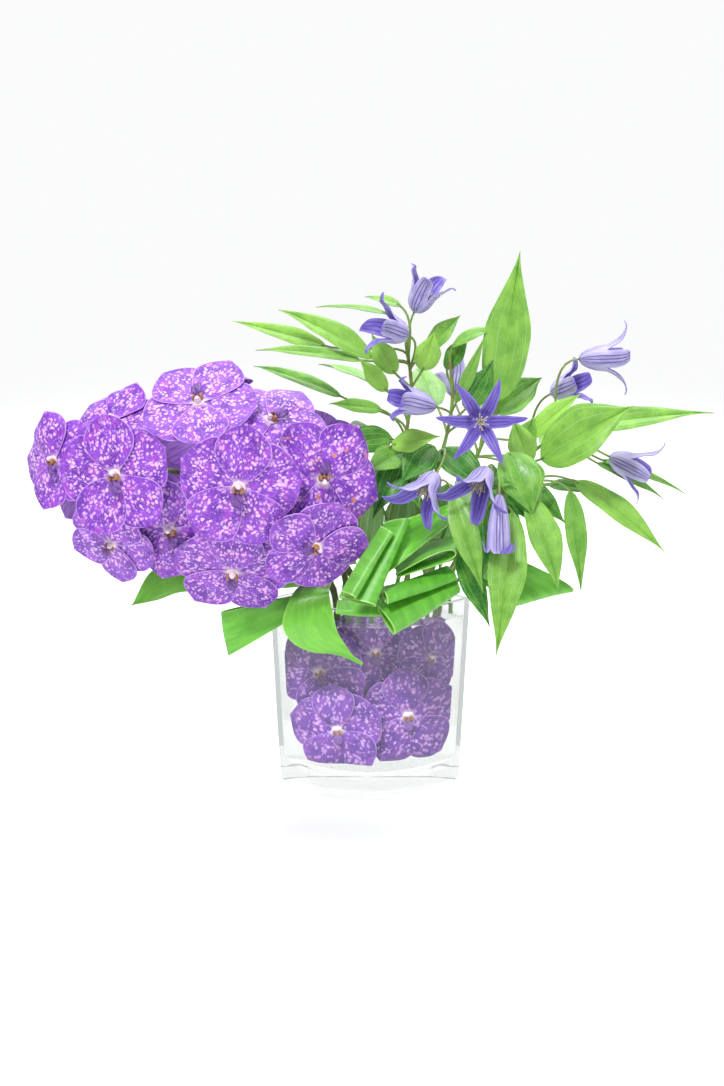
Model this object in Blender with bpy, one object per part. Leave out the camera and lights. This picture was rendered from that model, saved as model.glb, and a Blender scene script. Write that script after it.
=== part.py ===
"""A vanda orchid arrangement: cut vanda spikes, blue clematis sprigs and folded aspidistra
leaves stand in a clear pillow vase of water, with six more vanda blooms under the water.

Metres, +Z up, the front towards -Y. The origin is the middle of the vase's flat base.
Places in the layout lists are millimetres in that frame.
"""
from math import cos, pi, radians, sin, sqrt, tau

import bmesh
import bpy
import numpy as np

MM = 0.001
GAP = 0.0003
SHARP_ANGLE = 40

# Vase
VASE_HEIGHT = 0.148
RIM_WIDTH = 0.152
RIM_DEPTH = 0.077
BASE_WIDTH = 0.139
BASE_DEPTH = 0.073
WALL = 0.0038
FLOOR_THICKNESS = 0.017
FOOT_ROUND = 0.0016
FLOOR_ROUND = 0.006
VASE_CORNER_POWER = 2.0
VASE_SIDE_STEPS = 13
WATER_LEVEL = 0.134

# Vanda flower
PETAL_THICKNESS = 0.0012
BLOOM_LOBES = 5
BLOOM_STEPS = 15
RING_SHARES = (0.0, 0.55, 1.0)
LOBE_NOTCH = 0.10
BLOOM_REFLEX = 0.10
SUNK_WIDTH_SHARE = 0.965
POCKET_SPREAD = 1.06
POCKET_DEPTH = 0.003
LIP_HEIGHT = 0.011
SUNK_LIP_HEIGHT = 0.0045
LIP_RADIUS = 0.0055
PEDICEL_RADIUS = 0.0017
PEDICEL_FOOT_RADIUS = 0.0009
SPIKE_RADIUS = 0.0030
SPIKE_TAPER = 0.4
SPIKE_SIDES = 6
FOOT_CLEARANCE = 0.0009
PEDICEL_START = 0.020
PEDICEL_ARCH = 0.4
NEIGHBOUR_REACH = 0.1
PRESS_WIDTH = 0.004
PRESS_ROUNDS = 6
PLANE_TILTS = range(-80, 81, 10)
PLANE_LEVELS = 9

# Clematis
SPRIG_RADIUS = 0.0019
SPRIG_TAPER = 0.4
SPRIG_SIDES = 6
TWIG_RADIUS = 0.0009
TWIG_SIDES = 4
TWIG_REACH = 0.4
TWIG_LIFT = 0.6
PETIOLE_OVERLAP = 0.003
STALK_START = 0.030
LEAF_THICKNESS = 0.0011
LEAF_BASE_HALF_WIDTH = 0.0009
LEAF_KEEL = 0.08
LEAF_STATIONS = (0.0, 0.15, 0.38, 0.64, 0.86, 1.0)
BELL_THICKNESS = 0.0012
BELL_STEPS = 12
BELL_FOOT_RADIUS = 0.0016
BELL_BULB_MOST = 0.008
BELL_SHOULDER = (0.3, 0.85)

# Aspidistra
BLADE_THICKNESS = 0.0009

# Flower spikes: points along each stem, from its cut end in the water to its last flower
SPIKES = {
    "vanda_spike_1": [(6, 14, 40), (0, 9, 90), (-8, 3, 150), (-38, -4, 200), (-90, -8, 236),
                      (-145, -8, 246), (-190, -6, 250)],
    "vanda_spike_2": [(-10, 17, 40), (-12, 15, 90), (-17, 10, 150), (-30, 7, 192),
                      (-62, 3, 232), (-100, 2, 262), (-150, 4, 272)],
    "vanda_spike_3": [(-28, 8, 40), (-26, 6, 90), (-27, 1, 150), (-46, -4, 180),
                      (-90, -4, 208), (-150, -2, 222)],
}

# Blooms on the spikes: place of the centre, the way it faces (turn from the front towards +X,
# then lift above the horizon), its own roll, radius, and the spike that carries it
SPIKE_BLOOMS = [
    ((-178, -64, 253), (-12, 4), 10, 45, 1),
    ((-90, -84, 248), (-4, -4), -8, 46, 1),
    ((-33, -70, 251), (14, 6), 176, 45, 2),
    ((-122, -34, 300), (-14, 52), -162, 45, 2),
    ((-70, -42, 289), (14, 48), 104, 42, 2),
    ((-38, -74, 204), (20, -22), -90, 40, 1),
    ((-98, -58, 182), (-4, -36), -10, 46, 3),
    ((-142, -56, 212), (-6, -16), 20, 44, 3),
    ((-186, -46, 200), (-24, -30), -40, 38, 1),
    ((-229, -26, 257), (-34, 6), 20, 38, 1),
    ((-190, -6, 284), (-24, 42), -10, 38, 1),
    ((-152, -4, 190), (-20, -76), 0, 34, 3),
    ((-68, -26, 170), (10, -64), 30, 31, 3),
    ((-222, 46, 232), (-130, -6), 10, 38, 1),
    ((-172, 58, 250), (-170, 8), -8, 43, 1),
    ((-98, 70, 250), (180, 2), 12, 44, 1),
    ((-36, 60, 244), (160, 4), -14, 42, 2),
    ((-110, 34, 300), (172, 56), 20, 42, 2),
    ((-128, 48, 196), (-170, -42), 0, 40, 3),
    ((-62, 50, 194), (168, -36), 24, 38, 3),
]

# Cut blooms under the water: place, way it faces, roll, radius
SUNK_BLOOMS = [
    ((28, -22, 61), (4, 4), 5, 41),
    ((-24, -23, 50), (-6, 2), 8, 38),
    ((-37, -9, 92), (-12, 6), 30, 39),
    ((4, -6, 107), (2, 6), 0, 33),
    ((45, -11, 103), (12, 6), -20, 30),
    ((-18, 24, 76), (178, 0), 10, 33),
]

# Clematis stems: points from the cut end in the water to the top of the sprig
SPRIGS = {
    "clematis_sprig_1": [(16, 18, 40), (14, 17, 90), (9, 11, 150), (20, 6, 230), (30, 0, 300),
                         (26, 0, 340)],
    "clematis_sprig_2": [(26, 14, 40), (27, 14, 90), (26, 9, 150), (46, 0, 230), (60, 2, 290),
                         (58, 2, 334)],
    "clematis_sprig_3": [(36, 10, 40), (38, 10, 90), (41, 8, 150), (68, 10, 225), (90, 6, 280),
                         (95, 2, 300)],
    "clematis_sprig_4": [(46, 7, 40), (51, 7, 90), (57, 5, 150), (92, 10, 222), (122, 8, 258),
                         (148, 10, 274)],
    "clematis_sprig_5": [(44, 2, 40), (48, 1, 90), (52, -3, 150), (76, -32, 205),
                         (100, -44, 238), (132, -16, 238)],
}

# Clematis leaves: sprig, base, tip, width, bow towards the upper side, way that side faces
LEAVES = [
    (1, (2, -5, 329), (-66, -12, 364), 21, 6, (0, 50)),
    (1, (-33, 4, 337), (-100, 2, 355), 13, 3, (0, 40)),
    (1, (-7, -12, 328), (-82, -22, 336), 13, 4, (0, 60)),
    (1, (12, 15, 360), (-40, 25, 364), 8, 3, (10, 70)),
    (1, (22, 8, 366), (-4, 14, 372), 9, 2, (0, 60)),
    (1, (-22, 6, 300), (-86, 8, 322), 13, 4, (0, 60)),
    (1, (12, -10, 306), (-8, -24, 330), 12, 3, (-20, 30)),
    (1, (18, -6, 318), (1, -12, 347), 16, 3, (-20, 20)),
    (1, (38, -4, 320), (46, -10, 348), 18, 3, (10, 20)),
    (1, (42, 6, 334), (66, 6, 359), 14, 3, (0, 40)),
    (1, (8, -8, 292), (-30, -24, 298), 11, 2, (0, 40)),
    (1, (16, -24, 268), (50, -36, 276), 16, 3, (0, 30)),
    (1, (24, -16, 262), (-3, -34, 250), 20, 4, (-10, 30)),
    (1, (14, 14, 302), (-40, 66, 318), 22, 6, (-150, 60)),
    (1, (14, 20, 268), (-20, 82, 262), 24, 6, (180, 40)),
    (2, (60, 0, 337), (94, -2, 348), 12, 6, (0, 60)),
    (2, (56, 6, 320), (72, 6, 347), 12, 2, (0, 20)),
    (2, (63, -10, 298), (82, -12, 345), 8, 3, (10, 10)),
    (2, (70, -6, 292), (89, -8, 328), 18, 4, (10, 10)),
    (5, (74, -48, 244), (101, -68, 247), 14, 4, (10, 40)),
    (2, (58, -58, 240), (78, -88, 174), 18, 6, (0, 10)),
    (2, (64, -44, 192), (86, -58, 141), 16, 4, (10, 10)),
    (2, (46, -12, 266), (22, -36, 242), 24, 5, (-10, 20)),
    (2, (52, -4, 262), (84, -30, 236), 24, 6, (10, 30)),
    (1, (18, 0, 240), (-10, -26, 224), 20, 4, (-10, 20)),
    (3, (80, 6, 246), (116, -24, 212), 24, 6, (10, 20)),
    (4, (104, 10, 238), (146, -12, 206), 22, 6, (20, 30)),
    (2, (50, 16, 292), (36, 88, 312), 24, 8, (180, 60)),
    (2, (44, 16, 246), (16, 92, 214), 22, 8, (176, 40)),
    (3, (94, -4, 298), (107, -6, 405), 33, 6, (-10, 10)),
    (3, (94, 6, 287), (129, 22, 312), 24, 5, (10, 50)),
    (3, (112, 4, 260), (121, 2, 285), 16, 3, (-10, 20)),
    (3, (118, 2, 270), (154, -6, 303), 18, 4, (0, 50)),
    (3, (116, -18, 254), (102, -34, 288), 19, 4, (-20, 30)),
    (5, (98, -44, 266), (114, -64, 222), 32, 8, (10, 20)),
    (3, (86, 18, 280), (92, 96, 304), 26, 9, (180, 60)),
    (3, (76, 20, 236), (84, 100, 190), 24, 10, (178, 40)),
    (4, (125, -15, 256), (187, -37, 298), 42, 8, (-10, 36)),
    (4, (146, 10, 274), (256, 10, 287), 20, 6, (0, 50)),
    (4, (172, 15, 248), (226, 25, 218), 12, 4, (10, 60)),
    (4, (176, 18, 250), (243, 27, 222), 10, 4, (10, 60)),
    (4, (130, 18, 262), (176, 80, 280), 24, 8, (150, 60)),
    (4, (104, 22, 234), (148, 88, 196), 22, 8, (150, 40)),
    (5, (112, -56, 236), (132, -75, 172), 22, 8, (14, 10)),
    (5, (146, -22, 234), (155, -32, 160), 15, 4, (10, 10)),
    (5, (152, -6, 238), (220, -14, 185), 23, 6, (20, 50)),
    (5, (134, 0, 234), (172, 5, 228), 14, 3, (0, 60)),
    (5, (100, -62, 226), (87, -96, 131), 25, 8, (0, 8)),
    (5, (80, -34, 216), (74, -46, 160), 22, 5, (0, 14)),
    (1, (22, -8, 248), (36, -38, 224), 18, 4, (0, 24)),
    (1, (22, -10, 258), (2, -36, 216), 24, 5, (-8, 20)),
    (1, (16, -2, 270), (-26, -22, 268), 20, 5, (-6, 20)),
    (5, (92, -40, 232), (98, -62, 176), 26, 6, (0, 10)),
    (1, (1, 18, 228), (-6, 20, 160), 24, 3, (180, 12)),
    (2, (31, 18, 230), (21, 22, 156), 31, 3, (180, 12)),
    (3, (60, 20, 232), (54, 24, 160), 26, 3, (180, 12)),
    (4, (86, 20, 224), (80, 26, 160), 24, 3, (180, 12)),
    (2, (46, 15, 214), (43, 16, 154), 24, 1, (180, 6)),
]

# Clematis flowers: sprig, base, way the bell opens, length, mouth radius, share of its height
# at which the tepals part, how many tepals
BELLS = [
    (1, (32, 0, 362), (70, 62), 40, 15, 0.30, 4),
    (1, (27, -16, 346), (-70, 20), 40, 17, 0.30, 4),
    (2, (46, -42, 298), (-72, 14), 42, 12, 0.50, 4),
    (2, (77, -46, 288), (0, 6), 22, 24, 0.20, 6),
    (2, (46, -62, 254), (-46, -44), 44, 20, 0.30, 4),
    (5, (81, -66, 258), (-32, -38), 46, 20, 0.30, 4),
    (5, (88, -84, 243), (0, -86), 46, 8, 0.80, 4),
    (4, (153, 0, 328), (86, 2), 46, 20, 0.42, 4),
    (4, (136, 22, 300), (60, 24), 38, 14, 0.40, 4),
    (4, (180, 10, 254), (74, -22), 46, 20, 0.30, 4),
    (3, (66, 52, 296), (170, 24), 44, 18, 0.35, 4),
]

# Folded aspidistra leaves: both ends of the fold, both far ends of the blade, the fold's radius
# at both ends, and where along the rim its stalk enters the vase (X, and -1 for the front wall
# or 1 for the back wall)
FOLDS = [
    ("aspidistra_fold_1", (-111, -24, 143), (-106, -28, 110), (-50, -25, 157), (-45, -29, 147),
     (4, 4), (-44, -1)),
    ("aspidistra_fold_2", (-11, -84, 170), (16, -62, 211), (-20, -77, 172), (8, -53, 214),
     (3, 3), (-16, -1)),
    ("aspidistra_fold_3", (3, -80, 163), (28, -52, 219), (-22, -70, 166), (11, -44, 215),
     (4, 3), (1, -1)),
    ("aspidistra_fold_4", (12, -60, 182), (27, -40, 217), (55, -42, 212), (62, -16, 224),
     (2, 2), (42, -1)),
    ("aspidistra_fold_5", (60, -62, 197), (67, -40, 203), (18, -54, 178), (26, -32, 188),
     (2.5, 2), (18, -1)),
    ("aspidistra_fold_6", (12, -78, 165), (62, -52, 176), (8, -58, 169), (56, -38, 180),
     (5, 3), (26, -1)),
    ("aspidistra_fold_7", (17, -80, 143), (65, -50, 165), (5, -63, 158), (60, -39, 175),
     (9, 4), (11, -1)),
    ("aspidistra_fold_8", (107, -36, 152), (150, -30, 161), (72, -4, 172), (100, -4, 182),
     (4, 4), (60, -1)),
    ("aspidistra_fold_9", (-60, 56, 162), (-12, 62, 168), (-36, 26, 166), (-10, 28, 168),
     (4, 4), (-20, 1)),
    ("aspidistra_fold_10", (18, 60, 166), (72, 52, 172), (14, 28, 164), (46, 24, 168),
     (4, 4), (30, 1)),
    ("aspidistra_fold_11", (-25, -50, 149), (8, -51, 147), (-24, -41, 156), (8, -41, 156),
     (2, 2), (-8, -1)),
]
LAYER_SPREAD = 0.0026
FOLD_STEPS = 11

# Aspidistra blades that lie open: both edges at stations from the stalk to the tip
BLADES = [
    ("aspidistra_leaf_1",
     [((-46, -14, 163), (-28, -18, 165)), ((-56, -34, 160), (-30, -39, 162)),
      ((-64, -44, 141), (-27, -45, 147)), ((-58, -46, 127), (-24, -46, 134)),
      ((-43, -47, 119), (-18, -46, 124)), ((-24, -47, 117), (-13, -47, 117)),
      ((-6, -47, 109), (-5, -47, 110))], (-34, -1)),
    ("aspidistra_leaf_2",
     [((-34, 22, 158), (-34, 14, 154)), ((-72, 20, 164), (-74, 6, 153)),
      ((-110, 10, 170), (-112, -6, 153)), ((-145, 0, 174), (-141, -8, 154)),
      ((-165, -5, 169), (-160, -9, 148)), ((-179, -10, 145), (-180, -10, 144))], (-40, 1)),
]
STALK_WIDTH = 0.003
STALK_THICKNESS = 0.0018
STALK_RISE = 0.009
STALK_DIP = 0.002
STALK_END = WATER_LEVEL + 0.003


def clear_scene():
    for old in list(bpy.data.objects):
        bpy.data.objects.remove(old, do_unlink=True)


def vec(point):
    """A layout point in millimetres as a vector in metres."""
    return np.array(point, float) * MM


def unit(vector):
    return vector / np.linalg.norm(vector)


def facing(turn, lift):
    """Unit vector turned from the front (-Y) towards +X, then lifted above the horizon."""
    turn = radians(turn)
    lift = radians(lift)
    return np.array([sin(turn) * cos(lift), -cos(turn) * cos(lift), sin(lift)])


def along_chords(path, steps=4):
    """Points along the straight pieces of a path."""
    shares = np.arange(0, len(path) - 1 + 1 / steps / 2, 1 / steps)
    return np.stack([np.interp(shares, np.arange(len(path)), path[:, k]) for k in range(3)], 1)


def frame_from(normal, roll=0.0):
    """Right and up directions of a face with this normal, its up as near +Z as it can be."""
    up = np.array([0.0, 0.0, 1.0]) - normal * normal[2]
    up = unit(up) if np.linalg.norm(up) > 0.05 else np.array([0.0, 1.0, 0.0])
    right = np.cross(up, normal)
    angle = radians(roll)
    return right * cos(angle) + up * sin(angle), up * cos(angle) - right * sin(angle)


def smooth_path(points, steps):
    """Catmull-Rom curve through the points."""
    ring = [2 * points[0] - points[1], *points, 2 * points[-1] - points[-2]]
    path = []
    for a, b, c, d in zip(ring, ring[1:], ring[2:], ring[3:]):
        for k in range(steps):
            t = k / steps
            path.append(0.5 * (2 * b + (c - a) * t + (2 * a - 5 * b + 4 * c - d) * t * t
                               + (3 * b - a - 3 * c + d) * t ** 3))
    return np.array([*path, points[-1]])


def principled(name, colour, roughness, alpha=1.0, transmission=0.0):
    """A plain Principled material."""
    material = bpy.data.materials.new(name)
    material.use_nodes = True
    shader = material.node_tree.nodes["Principled BSDF"]
    shader.inputs["Base Color"].default_value = (*colour, 1.0)
    shader.inputs["Roughness"].default_value = roughness
    shader.inputs["Metallic"].default_value = 0.0
    shader.inputs["Alpha"].default_value = alpha
    shader.inputs["Transmission Weight"].default_value = transmission
    return material


def add_object(name, points, faces, material=None):
    """A smooth-shaded object of these points and faces."""
    mesh = bpy.data.meshes.new(name)
    mesh.from_pydata([tuple(map(float, point)) for point in points], [], faces)
    shape = bmesh.new()
    shape.from_mesh(mesh)
    bmesh.ops.recalc_face_normals(shape, faces=shape.faces)
    if shape.calc_volume(signed=True) < 0:
        bmesh.ops.reverse_faces(shape, faces=shape.faces)
    shape.to_mesh(mesh)
    shape.free()
    mesh.shade_smooth()
    mesh.set_sharp_from_angle(angle=radians(SHARP_ANGLE))
    if material:
        mesh.materials.append(material)
    thing = bpy.data.objects.new(name, mesh)
    bpy.context.collection.objects.link(thing)
    return thing


def combine(thing, others, operation):
    """Unite with the other objects, or cut them away, and remove them."""
    for other in others:
        modifier = thing.modifiers.new(operation.title(), "BOOLEAN")
        modifier.operation = operation
        modifier.solver = "EXACT"
        modifier.object = other
    bpy.context.view_layer.update()
    evaluated = thing.evaluated_get(bpy.context.evaluated_depsgraph_get())
    mesh = bpy.data.meshes.new_from_object(evaluated)
    material = thing.data.materials[0] if thing.data.materials else None
    thing.modifiers.clear()
    thing.data = mesh
    mesh.materials.clear()
    mesh.materials.append(material)
    for other in others:
        bpy.data.objects.remove(other, do_unlink=True)
    return thing


def rings_to_solid(rings, cap_start=True, cap_end=True):
    """Points and faces of a closed skin over rings of equal length.

    A ring of one point closes that end by itself.
    """
    points = [point for ring in rings for point in ring]
    starts = np.cumsum([0] + [len(ring) for ring in rings])
    faces = []
    for a, b, ring_a, ring_b in zip(starts, starts[1:], rings, rings[1:]):
        count = max(len(ring_a), len(ring_b))
        for k in range(count):
            n = (k + 1) % count
            if len(ring_a) == 1:
                faces.append((a, b + n, b + k))
            elif len(ring_b) == 1:
                faces.append((a + k, a + n, b))
            else:
                faces.append((a + k, a + n, b + n, b + k))
    if cap_start and len(rings[0]) > 1:
        faces.append(tuple(range(len(rings[0])))[::-1])
    if cap_end and len(rings[-1]) > 1:
        faces.append(tuple(starts[-2] + k for k in range(len(rings[-1]))))
    return points, faces


def tube(path, radii, sides):
    """Points and faces of a tube along a path, with flat ends."""
    tangents = np.gradient(path, axis=0)
    side = np.cross(tangents[0], [0.3, 1.0, 0.2])
    rings = []
    for centre, tangent, radius in zip(path, tangents, radii):
        tangent = unit(tangent)
        side = unit(side - tangent * (side @ tangent))
        other = np.cross(tangent, side)
        turns = [tau * k / sides for k in range(sides)]
        rings.append([centre + radius * (side * cos(t) + other * sin(t)) for t in turns])
    return rings_to_solid(rings)


def lens(width, depth, z):
    """Corners, anticlockwise, of a pillow-shaped outline with a point at each side."""
    front = []
    for k in range(VASE_SIDE_STEPS):
        x = -1 + 2 * k / VASE_SIDE_STEPS
        front.append(np.array([x * width / 2, -depth / 2 * (1 - abs(x) ** VASE_CORNER_POWER), z]))
    back = [np.array([-point[0], -point[1], z]) for point in front]
    return front + back


def vase_size(z, inset=0.0):
    """Width and depth of the vase at a height, drawn in by an inset all round."""
    share = z / VASE_HEIGHT
    width = BASE_WIDTH + (RIM_WIDTH - BASE_WIDTH) * share - 2 * inset * sqrt(2)
    depth = BASE_DEPTH + (RIM_DEPTH - BASE_DEPTH) * share - 2 * inset
    return width, depth


def vase_ring(z, inset=0.0):
    return lens(*vase_size(z, inset), z)


def make_vase(material):
    lip = WALL / 4
    rings = [vase_ring(0, FOOT_ROUND), vase_ring(FOOT_ROUND), vase_ring(VASE_HEIGHT - lip),
             vase_ring(VASE_HEIGHT, lip), vase_ring(VASE_HEIGHT, WALL - lip),
             vase_ring(VASE_HEIGHT - lip, WALL),
             vase_ring(FLOOR_THICKNESS + FLOOR_ROUND, WALL),
             vase_ring(FLOOR_THICKNESS, WALL + FLOOR_ROUND)]
    return add_object("vase", *rings_to_solid(rings), material)


def make_water(material, pockets):
    """The water, cut clear of everything that stands in it."""
    inset = WALL + GAP
    rings = [vase_ring(FLOOR_THICKNESS + GAP, inset + FLOOR_ROUND),
             vase_ring(FLOOR_THICKNESS + GAP + FLOOR_ROUND, inset),
             vase_ring(WATER_LEVEL, inset)]
    water = add_object("water", *rings_to_solid(rings), material)
    return combine(water, pockets, "DIFFERENCE")


def bloom_rings(centre, way, roll, radius):
    """Middle surface of a vanda flower: five broad lobes, curling back a little."""
    normal = facing(*way)
    right, up = frame_from(normal, roll)
    rings = []
    for share, steps in zip(RING_SHARES, (BLOOM_LOBES, BLOOM_STEPS, BLOOM_STEPS)):
        ring = []
        for k in range(steps):
            angle = pi / 2 + tau * k / steps
            notch = LOBE_NOTCH * (1 - cos(BLOOM_LOBES * (angle - pi / 2))) / 2
            reach = max(share * radius * (1 - notch), LIP_RADIUS)
            back = BLOOM_REFLEX * radius * share ** 2
            ring.append(centre + reach * (right * cos(angle) + up * sin(angle)) - back * normal)
        rings.append(np.array(ring))
    return rings


def soft_push(distance):
    """How far a point at this distance past a plane is pushed back, eased over a width."""
    eased = (distance + PRESS_WIDTH) ** 2 / (4 * PRESS_WIDTH)
    pushed = np.where(distance > PRESS_WIDTH, distance, eased)
    return np.where(distance < -PRESS_WIDTH, 0.0, pushed)


def dividing_plane(points_a, points_b, way_a, way_b, apart):
    """Point and normal of the plane that parts two flowers with the least pressing."""
    across = unit(points_b.mean(axis=0) - points_a.mean(axis=0))
    facing_out = unit(way_a + way_b + across * 0.01)
    best = None
    for tilt in map(radians, PLANE_TILTS):
        normal = unit(across * cos(tilt) + (facing_out - across * (facing_out @ across)) * sin(tilt))
        a = points_a @ normal
        b = points_b @ normal
        lowest, highest = sorted((a.max(), b.min()))
        for level in np.linspace(lowest, highest, PLANE_LEVELS):
            cost = (np.maximum(a - level + apart, 0) ** 2).sum()
            cost += (np.maximum(level + apart - b, 0) ** 2).sum()
            if best is None or cost < best[0]:
                best = (cost, level, normal)
    return best[1], best[2]


def dividing_planes(blooms, ways):
    """For every flower, the planes between it and its neighbours."""
    apart = PETAL_THICKNESS / 2 + GAP
    planes = [[] for _ in blooms]
    for i, first in enumerate(blooms):
        for j in range(i + 1, len(blooms)):
            a = np.vstack(first)
            b = np.vstack(blooms[j])
            if np.linalg.norm(a.mean(axis=0) - b.mean(axis=0)) > NEIGHBOUR_REACH:
                continue
            level, normal = dividing_plane(a, b, ways[i], ways[j], apart)
            planes[i].append((level, normal))
            planes[j].append((-level, -normal))
    return planes


def press(points, planes, apart):
    """Points moved to the inner side of every plane."""
    points = points.copy()
    for _ in range(PRESS_ROUNDS):
        for level, normal in planes:
            over = points @ normal - level + apart
            points -= soft_push(over)[:, None] * normal
    return points


def surface_normals(points, triangles):
    normals = np.zeros_like(points)
    for a, b, c in triangles:
        normal = np.cross(points[b] - points[a], points[c] - points[a])
        for corner in (a, b, c):
            normals[corner] += normal
    return normals / np.maximum(np.linalg.norm(normals, axis=1), 1e-12)[:, None]


def bloom_triangles():
    """Front triangles of the middle surface, between its rings of 5, 15 and 15 points."""
    triangles = []
    outer = BLOOM_LOBES + BLOOM_STEPS
    per_lobe = BLOOM_STEPS // BLOOM_LOBES
    for k in range(BLOOM_STEPS):
        n = (k + 1) % BLOOM_STEPS
        near = (k + 1) // per_lobe % BLOOM_LOBES
        triangles.append((near, BLOOM_LOBES + k, BLOOM_LOBES + n))
        if k % per_lobe == 1:
            triangles.append((near, BLOOM_LOBES + n, (near + 1) % BLOOM_LOBES))
        triangles.append((BLOOM_LOBES + k, outer + k, outer + n))
        triangles.append((BLOOM_LOBES + k, outer + n, BLOOM_LOBES + n))
    return triangles


def bloom_solid(points, normal, lip, foot=None):
    """Points and faces of a closed flower: petals, lip, and a pedicel to its foot."""
    sheet = bloom_triangles()
    normals = surface_normals(points, sheet)
    count = len(points)
    front = points + normals * PETAL_THICKNESS / 2
    back = points - normals * PETAL_THICKNESS / 2
    centre = points[:BLOOM_LOBES].mean(axis=0)
    skin = [*front, *back, centre + normal * lip]
    tip = 2 * count
    faces = list(sheet)
    faces += [(c + count, b + count, a + count) for a, b, c in sheet]
    for k in range(BLOOM_LOBES):
        faces.append((k, (k + 1) % BLOOM_LOBES, tip))
    rim = BLOOM_LOBES + BLOOM_STEPS
    for k in range(BLOOM_STEPS):
        n = (k + 1) % BLOOM_STEPS
        faces.append((rim + k, rim + k + count, rim + n + count, rim + n))
    last = [count + k for k in range(BLOOM_LOBES)]
    spokes = points[:BLOOM_LOBES] - centre
    spokes /= np.linalg.norm(spokes, axis=1)[:, None]
    stations = []
    if foot is not None:
        bend = centre - normal * PEDICEL_ARCH * np.linalg.norm(foot - centre)
        stations = [(0.25 * centre + 0.5 * bend + 0.25 * foot, PEDICEL_RADIUS),
                    (foot, PEDICEL_FOOT_RADIUS)]
    for place, radius in stations:
        start = len(skin)
        skin += [place + radius * spoke for spoke in spokes]
        now = [start + k for k in range(BLOOM_LOBES)]
        for k in range(BLOOM_LOBES):
            n = (k + 1) % BLOOM_LOBES
            faces.append((last[n], last[k], now[k], now[n]))
        last = now
    faces.append(tuple(last[::-1]))
    return skin, faces


def nearest_on(path, place, back=0):
    """The path's point nearest to a place, or some steps before it."""
    index = int(np.argmin(np.linalg.norm(path - place, axis=1)))
    return path[max(index - back, 0)]


def pedicel_foot(path, place):
    """Where a flower's pedicel meets its spike, on the side or the flat end facing it."""
    index = int(np.argmin(np.linalg.norm(path - place, axis=1)))
    if index < len(path) - 1:
        index = max(index - 3, 0)
        way = unit(place - path[index])
        radius = SPIKE_RADIUS * (1 - SPIKE_TAPER * index / len(path))
        return path[index] + (radius + FOOT_CLEARANCE) * way
    way = unit(place - path[-1])
    beyond = way @ unit(path[-1] - path[-2])
    radius = SPIKE_RADIUS * (1 - SPIKE_TAPER) * sqrt(1 - beyond ** 2)
    return path[-1] + (radius + FOOT_CLEARANCE / 3 + PEDICEL_FOOT_RADIUS * beyond) * way


def make_spike(name, points, material):
    path = smooth_path([vec(point) for point in points], 3)
    radii = np.linspace(SPIKE_RADIUS, SPIKE_RADIUS * (1 - SPIKE_TAPER), len(path))
    return add_object(name, *tube(path, radii, SPIKE_SIDES), material)


def make_spike_blooms(material):
    """The flowers on the spikes, pressed against their neighbours."""
    paths = [along_chords(smooth_path([vec(point) for point in points], 3))
             for points in SPIKES.values()]
    middles = [bloom_rings(vec(place), way, roll, radius * MM)
               for place, way, roll, radius, _ in SPIKE_BLOOMS]
    ways = [facing(*row[1]) for row in SPIKE_BLOOMS]
    planes = dividing_planes(middles, ways)
    for number, (row, middle, way, sides) in enumerate(
            zip(SPIKE_BLOOMS, middles, ways, planes), 1):
        points = press(np.vstack(middle), sides, PETAL_THICKNESS / 2 + GAP)
        centre = points[:BLOOM_LOBES].mean(axis=0)
        foot = pedicel_foot(paths[row[4] - 1], centre - way * PEDICEL_START)
        add_object(f"spike_bloom_{number:02d}",
                   *bloom_solid(points, way, LIP_HEIGHT, foot), material)


def keep_inside_vase(points, apart):
    """Points moved within the glass, by its depth at their place."""
    points = points.copy()
    for point in points:
        width, depth = vase_size(point[2], WALL + apart)
        half = width / 2 * SUNK_WIDTH_SHARE
        point[0] = np.clip(point[0], -half, half)
        room = depth / 2 * (1 - abs(2 * point[0] / width) ** VASE_CORNER_POWER)
        point[1] = np.clip(point[1], -room, room)
        point[2] = np.clip(point[2], FLOOR_THICKNESS + FLOOR_ROUND, WATER_LEVEL - 2 * apart)
    return points


def make_sunk_blooms(material):
    """The flowers under the water, and the pockets that they need in it."""
    middles = [bloom_rings(vec(place), way, roll, radius * MM)
               for place, way, roll, radius in SUNK_BLOOMS]
    ways = [facing(*row[1]) for row in SUNK_BLOOMS]
    apart = PETAL_THICKNESS / 2 + GAP
    middles = [[keep_inside_vase(ring, apart) for ring in rings] for rings in middles]
    planes = dividing_planes(middles, ways)
    pockets = []
    for number, (middle, way, sides) in enumerate(zip(middles, ways, planes), 1):
        points = press(np.vstack(middle), sides, apart)
        points = keep_inside_vase(points, apart)
        add_object(f"sunk_bloom_{number}",
                   *bloom_solid(points, way, SUNK_LIP_HEIGHT), material)
        pockets.append(bloom_pocket(points, way))
    return pockets


def bloom_pocket(points, way):
    """Room for a flower in the water, open to the wall of the vase that it faces."""
    skin, faces = bloom_solid(points, way, SUNK_LIP_HEIGHT)
    skin = np.array(skin)
    count = len(points)
    centre = points.mean(axis=0)
    to_wall = np.sign(way[1])
    skin[:, 0] = centre[0] + (skin[:, 0] - centre[0]) * POCKET_SPREAD
    skin[:, 2] = centre[2] + (skin[:, 2] - centre[2]) * POCKET_SPREAD
    skin[:, 1] -= to_wall * POCKET_DEPTH
    for k in [*range(count), 2 * count]:
        skin[k][1] = to_wall * RIM_DEPTH
    return add_object("pocket", skin, faces)


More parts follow.
